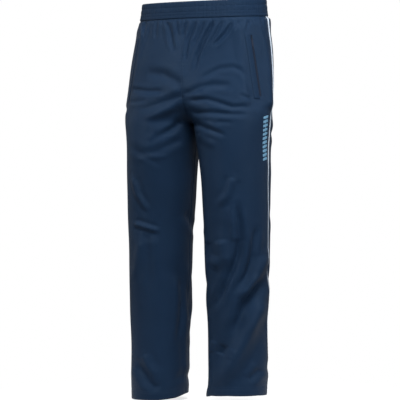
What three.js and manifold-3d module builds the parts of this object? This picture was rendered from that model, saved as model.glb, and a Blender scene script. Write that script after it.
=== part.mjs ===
// Knitted training trousers, shown filled out as if worn: two front and two back leg panels, an
// elasticated waistband, side piping, turned-up hems and two zipped welt pockets.
// Millimetres, +Z up. The wearer faces -Y and the wearer's left leg is on +X.
// The origin is the centre of the waist opening, at the top edge of the waistband.
import * as THREE from "three";
import { mergeVertices } from "three/addons/utils/BufferGeometryUtils.js";
import Module from "manifold-3d";

// ---------------------------------------------------------------- driving dimensions
const OUTSEAM = 1048; // top edge of the waistband to the hem
const RISE = 330; // top edge of the waistband down to the crotch point
const HIP_DROP = 217; // down to the widest level of the hips
const YOKE_DROP = 95; // down to the level where the gathers have let go
const FORK_DROP = 190; // down to where the two legs begin to part
const THIGH_DROP = 440;
const KNEE_DROP = 640;
const CALF_DROP = 850;

const WAIST_HALF_WIDTH = 172;
const YOKE_HALF_WIDTH = 190;
const HIP_HALF_WIDTH = 209;
const CROTCH_HALF_WIDTH = 203; // outer face of a leg from the centre plane, at each level
const THIGH_HALF_WIDTH = 199;
const KNEE_HALF_WIDTH = 196;
const HEM_HALF_WIDTH = 189;

const THIGH_STANCE = 107; // middle of a leg from the centre plane, at each level
const KNEE_STANCE = 111.5;
const HEM_STANCE = 114;

const WAIST_FRONT = 112; // depth in front of the widest line, at each level
const HIP_FRONT = 118;
const CROTCH_FRONT = 115;
const THIGH_FRONT = 106;
const KNEE_FRONT = 92;
const HEM_FRONT = 80;

const WAIST_BACK = 118; // and behind it
const HIP_BACK = 142;
const CROTCH_BACK = 122;
const THIGH_BACK = 107;
const KNEE_BACK = 93;
const HEM_BACK = 81;

const HIP_SWAY = -20; // how far forward of the waist's middle each level stands
const CROTCH_SWAY = -30;
const LEG_SWAY = -32;

const RIM_SLOPE = 0.085; // the waistband stands higher at the back than at the front
const RIM_FADE_DROP = 200; // the level where that slope has died out

const CLOTH = 1.2; // one layer of brushed knit
const LINING = 0.6; // pocket bags, hem turn-ups and zip tapes
const GAP = 0.3; // clearance between pieces that are sewn face to face
const SEAM_GAP = 0.4; // clearance across a seam, edge to edge

const BAND_HEIGHT = 45; // elasticated waistband
const BAND_OVERLAP = 8; // how far the leg panels reach up into the waistband
const HEM_TURN = 25; // depth of the turned-up hem

const PIPING_WIDTH = 3.4;
const PIPING_PROUD = 2.1; // above the middle of the cloth
const SEAM_ANGLE_HIP = THREE.MathUtils.degToRad(4.5); // the side seam, behind the widest line
const SEAM_ANGLE_KNEE = THREE.MathUtils.degToRad(7);
const SEAM_ANGLE_CALF = THREE.MathUtils.degToRad(24); // the lower leg hangs with a twist
const SEAM_ANGLE_HEM = THREE.MathUtils.degToRad(31);

const POCKET_TOP_DROP = 97; // ends of the pocket opening, measured down from the waist
const POCKET_BOTTOM_DROP = 260;
const POCKET_TOP_ANGLE = THREE.MathUtils.degToRad(-29.5); // in front of the widest line
const POCKET_BOTTOM_ANGLE = THREE.MathUtils.degToRad(-21.5);
const POCKET_TOP_SINK = 1; // how far the zip's ends are drawn in from the round of the hip
const POCKET_BOTTOM_SINK = 5;
const POCKET_FLAT_MARGIN = 8; // the cloth lies flat this far round the welt and its like behind the zip
const POCKET_FLAT_BLEND = 28; // and takes this much further to come back to its round

const SLOT_WIDTH = 6.4; // the opening in the panel that shows the zip
const WELT_WIDTH = 16;
const WELT_BEYOND = 5; // the welt outruns the opening at each end
const TAPE_WIDTH = 12;
const TAPE_BEYOND = 6;
const COIL_WIDTH = 1.8; // one side of the zip's coil
const COIL_HEIGHT = 1.8;
const STOP_LENGTH = 2.4;
const SLIDER_LENGTH = 9;
const SLIDER_WIDTH = 5.4;
const SLIDER_PLATE = 1.1;
const SLIDER_NECK = 1.0; // wedge between the two rows of coil
const NECK_CLEARANCE = 0.3;
const BRIDGE_WIDTH = 2; // the slider's bridge, which holds the puller
const BRIDGE_LENGTH = 6.4;
const BRIDGE_WALL = 0.9;
const PIN_RADIUS = 0.6;
const PIN_CLEARANCE = 0.35;
const PULLER_LENGTH = 24;
const PULLER_WIDTH = 4.8;
const PULLER_EYE = 6.2; // length of the puller's open end

const BAG_FRONT_ANGLE = THREE.MathUtils.degToRad(-60); // forward edge of the pocket bag
const BAG_BACK_ANGLE = THREE.MathUtils.degToRad(-15);
const BAG_TOP_DROP = 84;
const BAG_BOTTOM_DROP = 298;
const BAG_SLACK = 2.5; // space left between the bag's two layers

const MOTIF_TOP_DROP = 308; // printed motif of slanted bars on the left thigh
const MOTIF_BARS = 11;
const MOTIF_BAR_PITCH = 10.8;
const MOTIF_BAR_HEIGHT = 6.8;
const MOTIF_WIDTH = 19;
const MOTIF_SLANT = 5;
const MOTIF_SPINE = 2; // the narrow strip of print that joins the bars
const MOTIF_TOP_FROM_SEAM = 38; // middle of the motif, in front of the side seam
const MOTIF_BOTTOM_FROM_SEAM = 25;
const PRINT = 0.4;

const LABEL_WIDTH = 32;
const LABEL_HEIGHT = 46;
const LABEL_TOP_DROP = 12;

// ---------------------------------------------------------------- shape of the cloth
// Smooth curve through [drop, value] pairs that never overshoots between them.
function curveThrough(pairs) {
  const drops = pairs.map((pair) => pair[0]);
  const values = pairs.map((pair) => pair[1]);
  const rises = drops.slice(1).map((d, i) => (values[i + 1] - values[i]) / (d - drops[i]));
  const slopes = drops.map((_, i) => {
    if (i === 0 || i === drops.length - 1) return rises[Math.min(i, rises.length - 1)] * 0.5;
    const before = rises[i - 1];
    const after = rises[i];
    return before * after <= 0 ? 0 : (2 * before * after) / (before + after);
  });
  return (drop) => {
    const last = drops.length - 1;
    if (drop <= drops[0]) return values[0];
    if (drop >= drops[last]) return values[last];
    const i = drops.findIndex((d) => d > drop) - 1;
    const span = drops[i + 1] - drops[i];
    const t = (drop - drops[i]) / span;
    const t2 = t * t;
    const t3 = t2 * t;
    return (
      values[i] * (2 * t3 - 3 * t2 + 1) +
      values[i + 1] * (3 * t2 - 2 * t3) +
      span * (slopes[i] * (t3 - 2 * t2 + t) + slopes[i + 1] * (t3 - t2))
    );
  };
}

const crotchStance = CROTCH_HALF_WIDTH / 2; // where the two legs just touch
const forkMiddleDrop = FORK_DROP + 0.65 * (RISE - FORK_DROP);
const outerHalfWidth = curveThrough([
  [0, WAIST_HALF_WIDTH],
  [BAND_HEIGHT, WAIST_HALF_WIDTH + 6],
  [YOKE_DROP, YOKE_HALF_WIDTH],
  [HIP_DROP, HIP_HALF_WIDTH],
  [RISE, CROTCH_HALF_WIDTH],
  [THIGH_DROP, THIGH_HALF_WIDTH],
  [KNEE_DROP, KNEE_HALF_WIDTH],
  [OUTSEAM, HEM_HALF_WIDTH],
]);
const stance = curveThrough([
  [0, 0],
  [FORK_DROP, 0],
  [forkMiddleDrop, 0.65 * crotchStance],
  [RISE, crotchStance],
  [THIGH_DROP, THIGH_STANCE],
  [KNEE_DROP, KNEE_STANCE],
  [OUTSEAM, HEM_STANCE],
]);
const frontDepth = curveThrough([
  [0, WAIST_FRONT],
  [HIP_DROP, HIP_FRONT],
  [RISE, CROTCH_FRONT],
  [THIGH_DROP, THIGH_FRONT],
  [KNEE_DROP, KNEE_FRONT],
  [OUTSEAM, HEM_FRONT],
]);
const backDepth = curveThrough([
  [0, WAIST_BACK],
  [HIP_DROP, HIP_BACK],
  [RISE, CROTCH_BACK],
  [THIGH_DROP, THIGH_BACK],
  [KNEE_DROP, KNEE_BACK],
  [OUTSEAM, HEM_BACK],
]);
const sway = curveThrough([
  [0, 0],
  [HIP_DROP, HIP_SWAY],
  [RISE, CROTCH_SWAY],
  [THIGH_DROP, LEG_SWAY],
  [OUTSEAM, LEG_SWAY],
]);

const seamAngle = curveThrough([
  [0, SEAM_ANGLE_HIP],
  [HIP_DROP, SEAM_ANGLE_HIP],
  [KNEE_DROP, SEAM_ANGLE_KNEE],
  [CALF_DROP, SEAM_ANGLE_CALF],
  [OUTSEAM, SEAM_ANGLE_HEM],
]);

const smooth = (t) => t * t * (3 - 2 * t);
const clamp = THREE.MathUtils.clamp;

// One point of the left half's cloth, and its outward normal. angle is 0 at the widest line of the
// side, negative to the front, and reaches -180 and 180 degrees at the inside of the leg.
function drapedWall(angle, drop) {
  const middle = stance(drop);
  const half = outerHalfWidth(drop) - middle;
  const depth = angle < 0 ? frontDepth(drop) : backDepth(drop);
  const y = sway(drop) + depth * Math.sin(angle);
  const fade = smooth(1 - clamp(drop / RIM_FADE_DROP, 0, 1));
  const point = new THREE.Vector3(middle + half * Math.cos(angle), y, RIM_SLOPE * y * fade - drop);
  const normal = new THREE.Vector3(Math.cos(angle) / half, Math.sin(angle) / depth, 0).normalize();
  return { point, normal };
}

// The pocket's own frame, on the left hip: x out of the cloth, y towards the back, z up the zip.
const pocketFrame = (() => {
  const top = drapedWall(POCKET_TOP_ANGLE, POCKET_TOP_DROP);
  const bottom = drapedWall(POCKET_BOTTOM_ANGLE, POCKET_BOTTOM_DROP);
  top.point.addScaledVector(top.normal, -POCKET_TOP_SINK);
  bottom.point.addScaledVector(bottom.normal, -POCKET_BOTTOM_SINK);
  const up = top.point.clone().sub(bottom.point).normalize();
  const back = up.clone().cross(top.normal.clone().add(bottom.normal)).normalize();
  const out = back.clone().cross(up);
  const middle = top.point.clone().lerp(bottom.point, 0.5);
  return new THREE.Matrix4().makeBasis(out, back, up).setPosition(middle);
})();
const pocketFrameInverse = pocketFrame.clone().invert();
const pocketOut = new THREE.Vector3().setFromMatrixColumn(pocketFrame, 0);
const slotHalfLength =
  drapedWall(POCKET_TOP_ANGLE, POCKET_TOP_DROP).point.distanceTo(
    drapedWall(POCKET_BOTTOM_ANGLE, POCKET_BOTTOM_DROP).point,
  ) / 2;

const pocketFlatHalfWidth = SLOT_WIDTH / 2 + GAP + WELT_WIDTH + POCKET_FLAT_MARGIN;

// The same cloth with the pocket's surroundings lying flat, moved out by offset. Only the cloth on
// the pocket's own side of the body is flattened.
function wall(angle, drop, offset = 0) {
  const { point, normal } = drapedWall(angle, drop);
  const local = point.clone().applyMatrix4(pocketFrameInverse);
  const fall = (distance, core) =>
    smooth(1 - clamp((Math.abs(distance) - core) / POCKET_FLAT_BLEND, 0, 1));
  const flat =
    fall(local.y, pocketFlatHalfWidth) *
    fall(local.z, slotHalfLength + WELT_BEYOND + POCKET_FLAT_MARGIN) *
    (local.x > -pocketFlatHalfWidth ? 1 : 0);
  point.addScaledVector(pocketOut, -local.x * flat);
  normal.lerp(pocketOut, flat).normalize();
  return point.addScaledVector(normal, offset);
}

// Angle that stands for a distance along the cloth at the side seam.
const angleOf = (distance, drop) => distance / ((frontDepth(drop) + backDepth(drop)) / 2);
const atSeam = (distance, drop, offset) =>
  wall(seamAngle(drop) + angleOf(distance, drop), drop, offset);

// The inner edge of a panel: on the centre plane above the crotch, on the inseam below it.
function innerAngle(drop, depth) {
  const half = outerHalfWidth(drop) - stance(drop);
  const onCentre = Math.acos(Math.max(-1, (SEAM_GAP / 2 - stance(drop)) / half));
  return Math.min(onCentre, Math.PI - SEAM_GAP / 2 / depth);
}

// Columns of each panel, as shares of the way from its inner edge to the side seam. Those of the
// front are closer together round the pocket.
const FRONT_COLUMNS = [0, 0.12, 0.25, 0.38, 0.49, 0.57, 0.64, 0.71, 0.78, 0.85, 0.92, 1];
const BACK_COLUMNS = [0, 0.11, 0.22, 0.33, 0.44, 0.56, 0.67, 0.78, 0.89, 1];
const edgeFromSeam = PIPING_WIDTH / 2 + GAP;
function frontAngle(share, drop) {
  const inner = -innerAngle(drop, frontDepth(drop));
  const outer = seamAngle(drop) - angleOf(edgeFromSeam, drop);
  return THREE.MathUtils.lerp(inner, outer, share);
}
function backAngle(share, drop) {
  const inner = innerAngle(drop, backDepth(drop));
  const outer = seamAngle(drop) + angleOf(edgeFromSeam, drop);
  return THREE.MathUtils.lerp(inner, outer, share);
}

// Levels of the panels' rows: close together at the pocket and the fork, wide apart down the leg.
function steps(from, to, count) {
  return Array.from({ length: count }, (_, i) => THREE.MathUtils.lerp(from, to, i / count));
}
const panelTopDrop = BAND_HEIGHT - BAND_OVERLAP;
const PANEL_DROPS = [
  panelTopDrop,
  ...steps(BAND_HEIGHT, YOKE_DROP - 20, 2),
  ...steps(YOKE_DROP - 20, RISE - 36, 11),
  ...steps(RISE - 36, RISE + 24, 4),
  ...steps(RISE + 24, OUTSEAM, 13),
  OUTSEAM,
];
const PIPING_DROPS = [BAND_HEIGHT + GAP, ...PANEL_DROPS.filter((drop) => drop > BAND_HEIGHT + 5)];

// ---------------------------------------------------------------- solids
const wasm = await Module();
wasm.setup();

function solidOf(geometry) {
  const bare = geometry.index ? geometry.toNonIndexed() : geometry.clone();
  bare.deleteAttribute("normal");
  bare.deleteAttribute("uv");
  const merged = mergeVertices(bare, 1e-4);
  return new wasm.Manifold(
    new wasm.Mesh({
      numProp: 3,
      vertProperties: merged.attributes.position.array,
      triVerts: new Uint32Array(merged.index.array),
    }),
  );
}

function geometryOf(solid) {
  const mesh = solid.getMesh();
  const geometry = new THREE.BufferGeometry();
  geometry.setAttribute("position", new THREE.BufferAttribute(mesh.vertProperties, 3));
  geometry.setIndex(new THREE.BufferAttribute(mesh.triVerts, 1));
  geometry.computeVertexNormals();
  return geometry;
}

// A closed solid from rows of points: each row is one closed loop. The first and last rows are
// capped, unless the rows close into a ring. turned(r) tells which rows' squares are split along
// their other diagonal.
function loopSolid(rows, closedEnds = true, turned = () => false) {
  const count = rows[0].length;
  const positions = rows.flat().flatMap((p) => [p.x, p.y, p.z]);
  const faces = [];
  const pairs = closedEnds ? rows.length - 1 : rows.length;
  for (let r = 0; r < pairs; r++) {
    const here = r * count;
    const next = ((r + 1) % rows.length) * count;
    for (let i = 0; i < count; i++) {
      const j = (i + 1) % count;
      if (turned(r)) faces.push(here + i, here + j, next + i, here + j, next + j, next + i);
      else faces.push(here + i, here + j, next + j, here + i, next + j, next + i);
    }
  }
  if (closedEnds) {
    const last = (rows.length - 1) * count;
    capLoop(count).forEach(([a, b, c]) => {
      faces.push(a, c, b, last + a, last + b, last + c);
    });
  }
  const geometry = new THREE.BufferGeometry();
  geometry.setAttribute("position", new THREE.Float32BufferAttribute(positions, 3));
  geometry.setIndex(faces);
  return facingOut(geometry);
}

// Triangles that close a loop made of two matching sides: points run up one side and down the other.
function capLoop(count) {
  const triangles = [];
  for (let i = 0; i < count / 2 - 1; i++) {
    const opposite = count - 1 - i;
    triangles.push([i, i + 1, opposite]);
    if (i + 1 < opposite - 1) triangles.push([i + 1, opposite - 1, opposite]);
  }
  return triangles;
}

function facingOut(geometry) {
  const p = geometry.attributes.position;
  const index = geometry.index.array;
  const [a, b, c] = [new THREE.Vector3(), new THREE.Vector3(), new THREE.Vector3()];
  let volume = 0;
  for (let i = 0; i < index.length; i += 3) {
    a.fromBufferAttribute(p, index[i]);
    b.fromBufferAttribute(p, index[i + 1]);
    c.fromBufferAttribute(p, index[i + 2]);
    volume += a.dot(b.cross(c));
  }
  if (volume < 0) {
    for (let i = 0; i < index.length; i += 3) {
      [index[i + 1], index[i + 2]] = [index[i + 2], index[i + 1]];
    }
  }
  geometry.computeVertexNormals();
  return geometry;
}

// A box given by its lowest and highest corner in the pocket's frame.
function pocketBlock(low, high) {
  const size = high.map((v, i) => v - low[i]);
  const middle = high.map((v, i) => (v + low[i]) / 2);
  return new THREE.BoxGeometry(...size).translate(...middle);
}

// ---------------------------------------------------------------- materials
const cloth = (colour, roughness) =>
  new THREE.MeshStandardMaterial({ color: colour, roughness, metalness: 0 });
const materials = {
  navyKnit: cloth(0x22375a, 0.7),
  navyBand: cloth(0x1f3453, 0.75),
  whitePiping: cloth(0xdfe6f0, 0.55),
  navyLining: cloth(0x1b2a44, 0.85),
  whiteElastic: cloth(0xe6e6e2, 0.8),
  zipTape: cloth(0x16233a, 0.85),
  zipCoil: cloth(0x121c30, 0.45),
  zipMetal: new THREE.MeshStandardMaterial({ color: 0x1a2334, roughness: 0.4, metalness: 0.3 }),
  pullRubber: cloth(0x16233a, 0.6),
  lightBluePrint: cloth(0x8fbfe0, 0.5),
  labelSatin: cloth(0xf1f1ee, 0.5),
};

function piece(name, geometry, material) {
  const mesh = new THREE.Mesh(geometry, materials[material]);
  mesh.name = name;
  return mesh;
}

// ---------------------------------------------------------------- leg panels
// Cloth between two offsets, from one column to the next at each level. Panels keep to their own
// side of the centre plane.
function panelSolid(columns, angleAt) {
  const rows = PANEL_DROPS.map((drop) => {
    const side = (offset) =>
      columns.map((share) => {
        const point = wall(angleAt(share, drop), drop, offset);
        point.x = Math.max(point.x, SEAM_GAP / 2);
        return point;
      });
    return [...side(CLOTH / 2), ...side(-CLOTH / 2).reverse()];
  });
  return loopSolid(rows);
}

function frontPanel(side) {
  const blank = solidOf(panelSolid(FRONT_COLUMNS, frontAngle));
  const reach = 12;
  const slot = pocketBlock(
    [-reach, -SLOT_WIDTH / 2, -slotHalfLength],
    [reach, SLOT_WIDTH / 2, slotHalfLength],
  ).applyMatrix4(pocketFrame);
  return piece(`${side}_front_panel`, geometryOf(blank.subtract(solidOf(slot))), "navyKnit");
}

const backPanel = (side) =>
  piece(`${side}_back_panel`, panelSolid(BACK_COLUMNS, backAngle), "navyKnit");

// ---------------------------------------------------------------- trims down the leg
// A rounded cord of folded fabric in the side seam.
function piping(side) {
  const half = PIPING_WIDTH / 2;
  const section = [
    [-half, -CLOTH / 2],
    [-half, CLOTH / 2],
    [-0.6 * half, 0.8 * PIPING_PROUD],
    [-0.15 * half, PIPING_PROUD],
    [0.15 * half, PIPING_PROUD],
    [0.6 * half, 0.8 * PIPING_PROUD],
    [half, CLOTH / 2],
    [half, -CLOTH / 2],
  ];
  const rows = PIPING_DROPS.map((drop) => section.map(([s, offset]) => atSeam(s, drop, offset)));
  return piece(`${side}_side_piping`, loopSolid(rows), "whitePiping");
}

// The angles of the leg panels' columns, so that a ring inside them stays parallel to them.
const legAngles = (drop) => [
  ...FRONT_COLUMNS.map((share) => frontAngle(share, drop)),
  ...BACK_COLUMNS.map((share) => backAngle(share, drop)).reverse(),
];

function hemTurnUp(side) {
  const outer = -CLOTH / 2 - GAP;
  const section = [
    [outer, OUTSEAM],
    [outer, OUTSEAM - HEM_TURN],
    [outer - LINING, OUTSEAM - HEM_TURN],
    [outer - LINING, OUTSEAM],
  ];
  const rows = legAngles(OUTSEAM).map((angle) =>
    section.map(([offset, drop]) => wall(angle, drop, offset)),
  );
  return piece(`${side}_hem_turn_up`, loopSolid(rows, false), "navyLining");
}

// ---------------------------------------------------------------- waistband
// A ring round the waist. section is a closed outline of [offset, drop] points. The right half is
// the left half's mirror image, down to its triangles, as the right panels are.
function waistRing(section) {
  const left = legAngles(BAND_HEIGHT).map((angle) =>
    section.map(([offset, drop]) => wall(angle, drop, offset)),
  );
  const mirrored = (column) => column.map((p) => new THREE.Vector3(-p.x, p.y, p.z));
  const right = left.map(mirrored).reverse();
  return loopSolid([...left, ...right], false, (row) => row >= left.length);
}

function waistbandCasing() {
  const inner = CLOTH / 2 + GAP;
  const outer = inner + CLOTH;
  return piece(
    "waistband_casing",
    waistRing([
      [outer, BAND_HEIGHT],
      [outer, panelTopDrop],
      [outer, 0],
      [-outer, 0],
      [-outer, panelTopDrop],
      [-outer, BAND_HEIGHT],
      [-inner, BAND_HEIGHT],
      [-inner, panelTopDrop],
      [-inner, CLOTH],
      [inner, CLOTH],
      [inner, panelTopDrop],
      [inner, BAND_HEIGHT],
    ]),
    "navyBand",
  );
}

function waistElastic() {
  const half = CLOTH / 2;
  const top = CLOTH + GAP;
  const bottom = panelTopDrop - GAP;
  return piece(
    "waist_elastic",
    waistRing([
      [half, bottom],
      [half, top],
      [-half, top],
      [-half, bottom],
    ]),
    "whiteElastic",
  );
}

// A blank satin care label, sewn inside the middle of the back.
function careLabel() {
  const inside = CLOTH / 2 + GAP + CLOTH + GAP;
  const rows = [LABEL_TOP_DROP, LABEL_TOP_DROP + LABEL_HEIGHT].map((drop) => {
    const edge = Math.acos(LABEL_WIDTH / 2 / outerHalfWidth(drop));
    const nearest = Math.min(wall(edge, LABEL_TOP_DROP, -inside).y, wall(edge, BAND_HEIGHT, -inside).y);
    const at = (x, y) => new THREE.Vector3(x, y, wall(edge, drop).z);
    const half = LABEL_WIDTH / 2;
    return [
      at(-half, nearest),
      at(half, nearest),
      at(half, nearest - LINING),
      at(-half, nearest - LINING),
    ];
  });
  return piece("care_label", loopSolid(rows), "labelSatin");
}

// ---------------------------------------------------------------- pocket
const outerFace = CLOTH / 2;
const tapeTop = -CLOTH / 2 - GAP;
const coilTop = tapeTop - LINING - GAP;
const coilBottom = coilTop - COIL_HEIGHT;
const neckGap = SLIDER_NECK / 2 + NECK_CLEARANCE;
const coilHalfLength = slotHalfLength - GAP;
const sliderInnerTop = coilBottom - GAP;

function pocketWelt(side) {
  const front = -SLOT_WIDTH / 2 - GAP;
  const low = [outerFace + GAP, front - WELT_WIDTH, -slotHalfLength - WELT_BEYOND];
  const high = [outerFace + GAP + CLOTH, front, slotHalfLength + WELT_BEYOND];
  return piece(`${side}_pocket_welt`, pocketBlock(low, high), "navyKnit");
}

// The two halves of the zip: front is -1 and back is 1.
function zipHalves(side) {
  return [
    ["front", -1],
    ["back", 1],
  ].flatMap(([name, sign]) => {
    const strip = (near, width, low, high, half) => {
      const ys = [sign * near, sign * (near + width)].sort((a, b) => a - b);
      return pocketBlock([low, ys[0], -half], [high, ys[1], half]);
    };
    const tape = strip(neckGap, TAPE_WIDTH, tapeTop - LINING, tapeTop, slotHalfLength + TAPE_BEYOND);
    const coil = strip(neckGap, COIL_WIDTH, coilBottom, coilTop, coilHalfLength - STOP_LENGTH - GAP);
    return [
      piece(`${side}_zip_tape_${name}`, tape, "zipTape"),
      piece(`${side}_zip_coil_${name}`, coil, "zipCoil"),
    ];
  });
}

function zipStops(side) {
  return [
    ["top", 1],
    ["bottom", -1],
  ].map(([name, sign]) => {
    const zs = [sign * coilHalfLength, sign * (coilHalfLength - STOP_LENGTH)].sort((a, b) => a - b);
    const half = neckGap + COIL_WIDTH;
    const block = pocketBlock([coilBottom, -half, zs[0]], [coilTop, half, zs[1]]);
    return piece(`${side}_zip_stop_${name}`, block, "zipCoil");
  });
}

// The slider stands at the top of the zip: two plates joined by a neck between the coils, and a
// bridge on the outside for the puller.
const sliderOuterBase = tapeTop + GAP;
const sliderTop = sliderOuterBase + SLIDER_PLATE;
const pinHeight = sliderTop + PIN_CLEARANCE + PIN_RADIUS;
const bridgeHeight = pinHeight + PIN_RADIUS + PIN_CLEARANCE;
const sliderHome = coilHalfLength - STOP_LENGTH - GAP - SLIDER_LENGTH / 2;
const pinDrop = BRIDGE_LENGTH / 2 - BRIDGE_WALL - PIN_CLEARANCE - PIN_RADIUS;

function plateOutline() {
  const half = SLIDER_WIDTH / 2;
  const waist = 0.72 * half;
  const end = SLIDER_LENGTH / 2;
  const corner = 1.2;
  const outline = new THREE.Shape();
  outline.moveTo(-waist, -end);
  outline.lineTo(waist, -end);
  outline.lineTo(half, end - 2 * corner);
  outline.lineTo(half - corner, end);
  outline.lineTo(-half + corner, end);
  outline.lineTo(-half, end - 2 * corner);
  outline.closePath();
  return outline;
}

// An outline drawn across and along the zip, made thick between two heights above the cloth.
function extrudeOut(outline, low, high, curveSegments = 4) {
  const settings = { depth: high - low, bevelEnabled: false, curveSegments };
  const flat = new THREE.ExtrudeGeometry(outline, settings);
  const turn = new THREE.Matrix4().makeBasis(
    new THREE.Vector3(0, 1, 0),
    new THREE.Vector3(0, 0, 1),
    new THREE.Vector3(1, 0, 0),
  );
  return flat.applyMatrix4(turn).translate(low, 0, 0);
}

function zipSlider(side) {
  const halfBridge = BRIDGE_LENGTH / 2;
  const overlap = 0.2;
  const parts = [
    extrudeOut(plateOutline(), sliderOuterBase, sliderTop),
    extrudeOut(plateOutline(), sliderInnerTop - SLIDER_PLATE, sliderInnerTop),
    pocketBlock(
      [sliderInnerTop - overlap, -SLIDER_NECK / 2, 0.1 * SLIDER_LENGTH],
      [sliderOuterBase + overlap, SLIDER_NECK / 2, 0.46 * SLIDER_LENGTH],
    ),
    pocketBlock(
      [bridgeHeight, -BRIDGE_WIDTH / 2, -halfBridge],
      [bridgeHeight + BRIDGE_WALL, BRIDGE_WIDTH / 2, halfBridge],
    ),
    pocketBlock(
      [sliderTop - overlap, -BRIDGE_WIDTH / 2, -halfBridge],
      [bridgeHeight + overlap, BRIDGE_WIDTH / 2, -halfBridge + BRIDGE_WALL],
    ),
    pocketBlock(
      [sliderTop - overlap, -BRIDGE_WIDTH / 2, halfBridge - BRIDGE_WALL],
      [bridgeHeight + overlap, BRIDGE_WIDTH / 2, halfBridge],
    ),
  ];
  const joined = parts.map(solidOf).reduce((whole, part) => whole.add(part));
  return piece(`${side}_zip_slider`, geometryOf(joined), "zipMetal");
}

// The puller hangs from a bar through the bridge. Its own origin is on the bar's axis.
function zipPuller(side) {
  const half = PULLER_WIDTH / 2;
  const armInner = BRIDGE_WIDTH / 2 + PIN_CLEARANCE;
  const outline = new THREE.Shape();
  outline.moveTo(-half, PIN_RADIUS);
  outline.lineTo(half, PIN_RADIUS);
  outline.absarc(0, -PULLER_LENGTH + half, half, 0, -Math.PI, true);
  outline.closePath();
  const plate = extrudeOut(outline, -PIN_RADIUS, PIN_RADIUS, 6);
  const reach = 2 * PIN_RADIUS;
  const eye = pocketBlock([-reach, -armInner, -PULLER_EYE], [reach, armInner, -PIN_RADIUS]);
  return piece(`${side}_zip_puller`, geometryOf(solidOf(plate).subtract(solidOf(eye))), "pullRubber");
}

// Two flat layers that hang inside the front panel, behind the zip.
function pocketBag(side) {
  const clearOfSlider = sliderInnerTop - SLIDER_PLATE - GAP;
  const layers = [
    ["outer", clearOfSlider],
    ["inner", clearOfSlider - LINING - BAG_SLACK],
  ];
  const columns = 7;
  const levels = 8;
  return layers.map(([name, top]) => {
    const rows = Array.from({ length: levels + 1 }, (_, r) => {
      const drop = THREE.MathUtils.lerp(BAG_TOP_DROP, BAG_BOTTOM_DROP, r / levels);
      const across = (offset) =>
        Array.from({ length: columns + 1 }, (_, c) =>
          wall(THREE.MathUtils.lerp(BAG_FRONT_ANGLE, BAG_BACK_ANGLE, c / columns), drop, offset),
        );
      return [...across(top), ...across(top - LINING).reverse()];
    });
    return piece(`${side}_pocket_bag_${name}`, loopSolid(rows), "navyLining");
  });
}

// ---------------------------------------------------------------- left thigh motif
// Slanted bars of print on one narrow spine, laid on the cloth in front of the side seam.
function thighMotif() {
  const low = CLOTH / 2 + GAP;
  const cells = 4;
  const length = MOTIF_SLANT + (MOTIF_BARS - 1) * MOTIF_BAR_PITCH + MOTIF_BAR_HEIGHT;
  const fromSeam = (drop) => {
    const share = (drop - MOTIF_TOP_DROP) / length;
    return THREE.MathUtils.lerp(MOTIF_TOP_FROM_SEAM, MOTIF_BOTTOM_FROM_SEAM, share);
  };
  const bar = (left, right, topDrop, height, slant) => {
    const rows = Array.from({ length: cells + 1 }, (_, c) => {
      const share = c / cells;
      const s = THREE.MathUtils.lerp(left, right, share);
      const upper = topDrop - slant * share;
      const corner = (drop, offset) => atSeam(s - fromSeam(drop), drop, offset);
      return [
        corner(upper, low),
        corner(upper, low + PRINT),
        corner(upper + height, low + PRINT),
        corner(upper + height, low),
      ];
    });
    return solidOf(loopSolid(rows));
  };
  const half = MOTIF_WIDTH / 2;
  const bars = Array.from({ length: MOTIF_BARS }, (_, i) =>
    bar(-half, half, MOTIF_TOP_DROP + MOTIF_SLANT + i * MOTIF_BAR_PITCH, MOTIF_BAR_HEIGHT, MOTIF_SLANT),
  );
  const spans = Array.from({ length: MOTIF_BARS - 1 }, (_, i) =>
    bar(
      -MOTIF_SPINE / 2,
      MOTIF_SPINE / 2,
      MOTIF_TOP_DROP + MOTIF_SLANT / 2 + i * MOTIF_BAR_PITCH + MOTIF_BAR_HEIGHT - 2,
      MOTIF_BAR_PITCH - MOTIF_BAR_HEIGHT + 4,
      0,
    ),
  );
  const joined = [...bars, ...spans].reduce((whole, part) => whole.add(part));
  return piece("left_thigh_motif", geometryOf(joined), "lightBluePrint");
}

// ---------------------------------------------------------------- assembly
function half(side) {
  const group = new THREE.Group();
  group.add(frontPanel(side), backPanel(side), piping(side), hemTurnUp(side), ...pocketBag(side));
  const pocket = new THREE.Group();
  pocket.applyMatrix4(pocketFrame);
  const slider = zipSlider(side);
  slider.position.z = sliderHome;
  const puller = zipPuller(side);
  puller.position.set(pinHeight, 0, sliderHome - pinDrop);
  pocket.add(pocketWelt(side), ...zipHalves(side), ...zipStops(side), slider, puller);
  group.add(pocket);
  return group;
}

const trousers = new THREE.Group();
const left = half("left");
left.add(thighMotif());
const right = half("right");
right.scale.x = -1;
trousers.add(left, right, waistbandCasing(), waistElastic(), careLabel());

export default trousers;
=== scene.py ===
"""Looks of a pair of knitted training trousers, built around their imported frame.

Lengths inside the script are millimetres, as a cutting table gives them, and become metres when a mesh is
made. The wearer faces -Y and the wearer's left leg is on +X. "drop" is measured down from the waist.
"""

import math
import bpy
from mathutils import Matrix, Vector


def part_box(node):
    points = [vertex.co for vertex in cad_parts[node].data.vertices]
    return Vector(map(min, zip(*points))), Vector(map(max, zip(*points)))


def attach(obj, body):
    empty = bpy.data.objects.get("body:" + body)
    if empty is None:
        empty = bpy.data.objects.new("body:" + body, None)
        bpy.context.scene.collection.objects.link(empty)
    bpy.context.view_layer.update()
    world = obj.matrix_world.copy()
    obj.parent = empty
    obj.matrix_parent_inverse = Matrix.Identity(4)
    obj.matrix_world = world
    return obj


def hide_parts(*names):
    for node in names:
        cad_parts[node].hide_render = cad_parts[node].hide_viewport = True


bl_info = {
    "name": "Training Trousers",
    "version": (1, 0, 0),
    "blender": (4, 5, 0),
    "location": "3D View > Sidebar > Trousers",
    "description": "Builds knitted training trousers piece by piece",
    "category": "Add Mesh",
}

import bmesh
import bpy
import numpy as np
from mathutils import Vector

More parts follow.
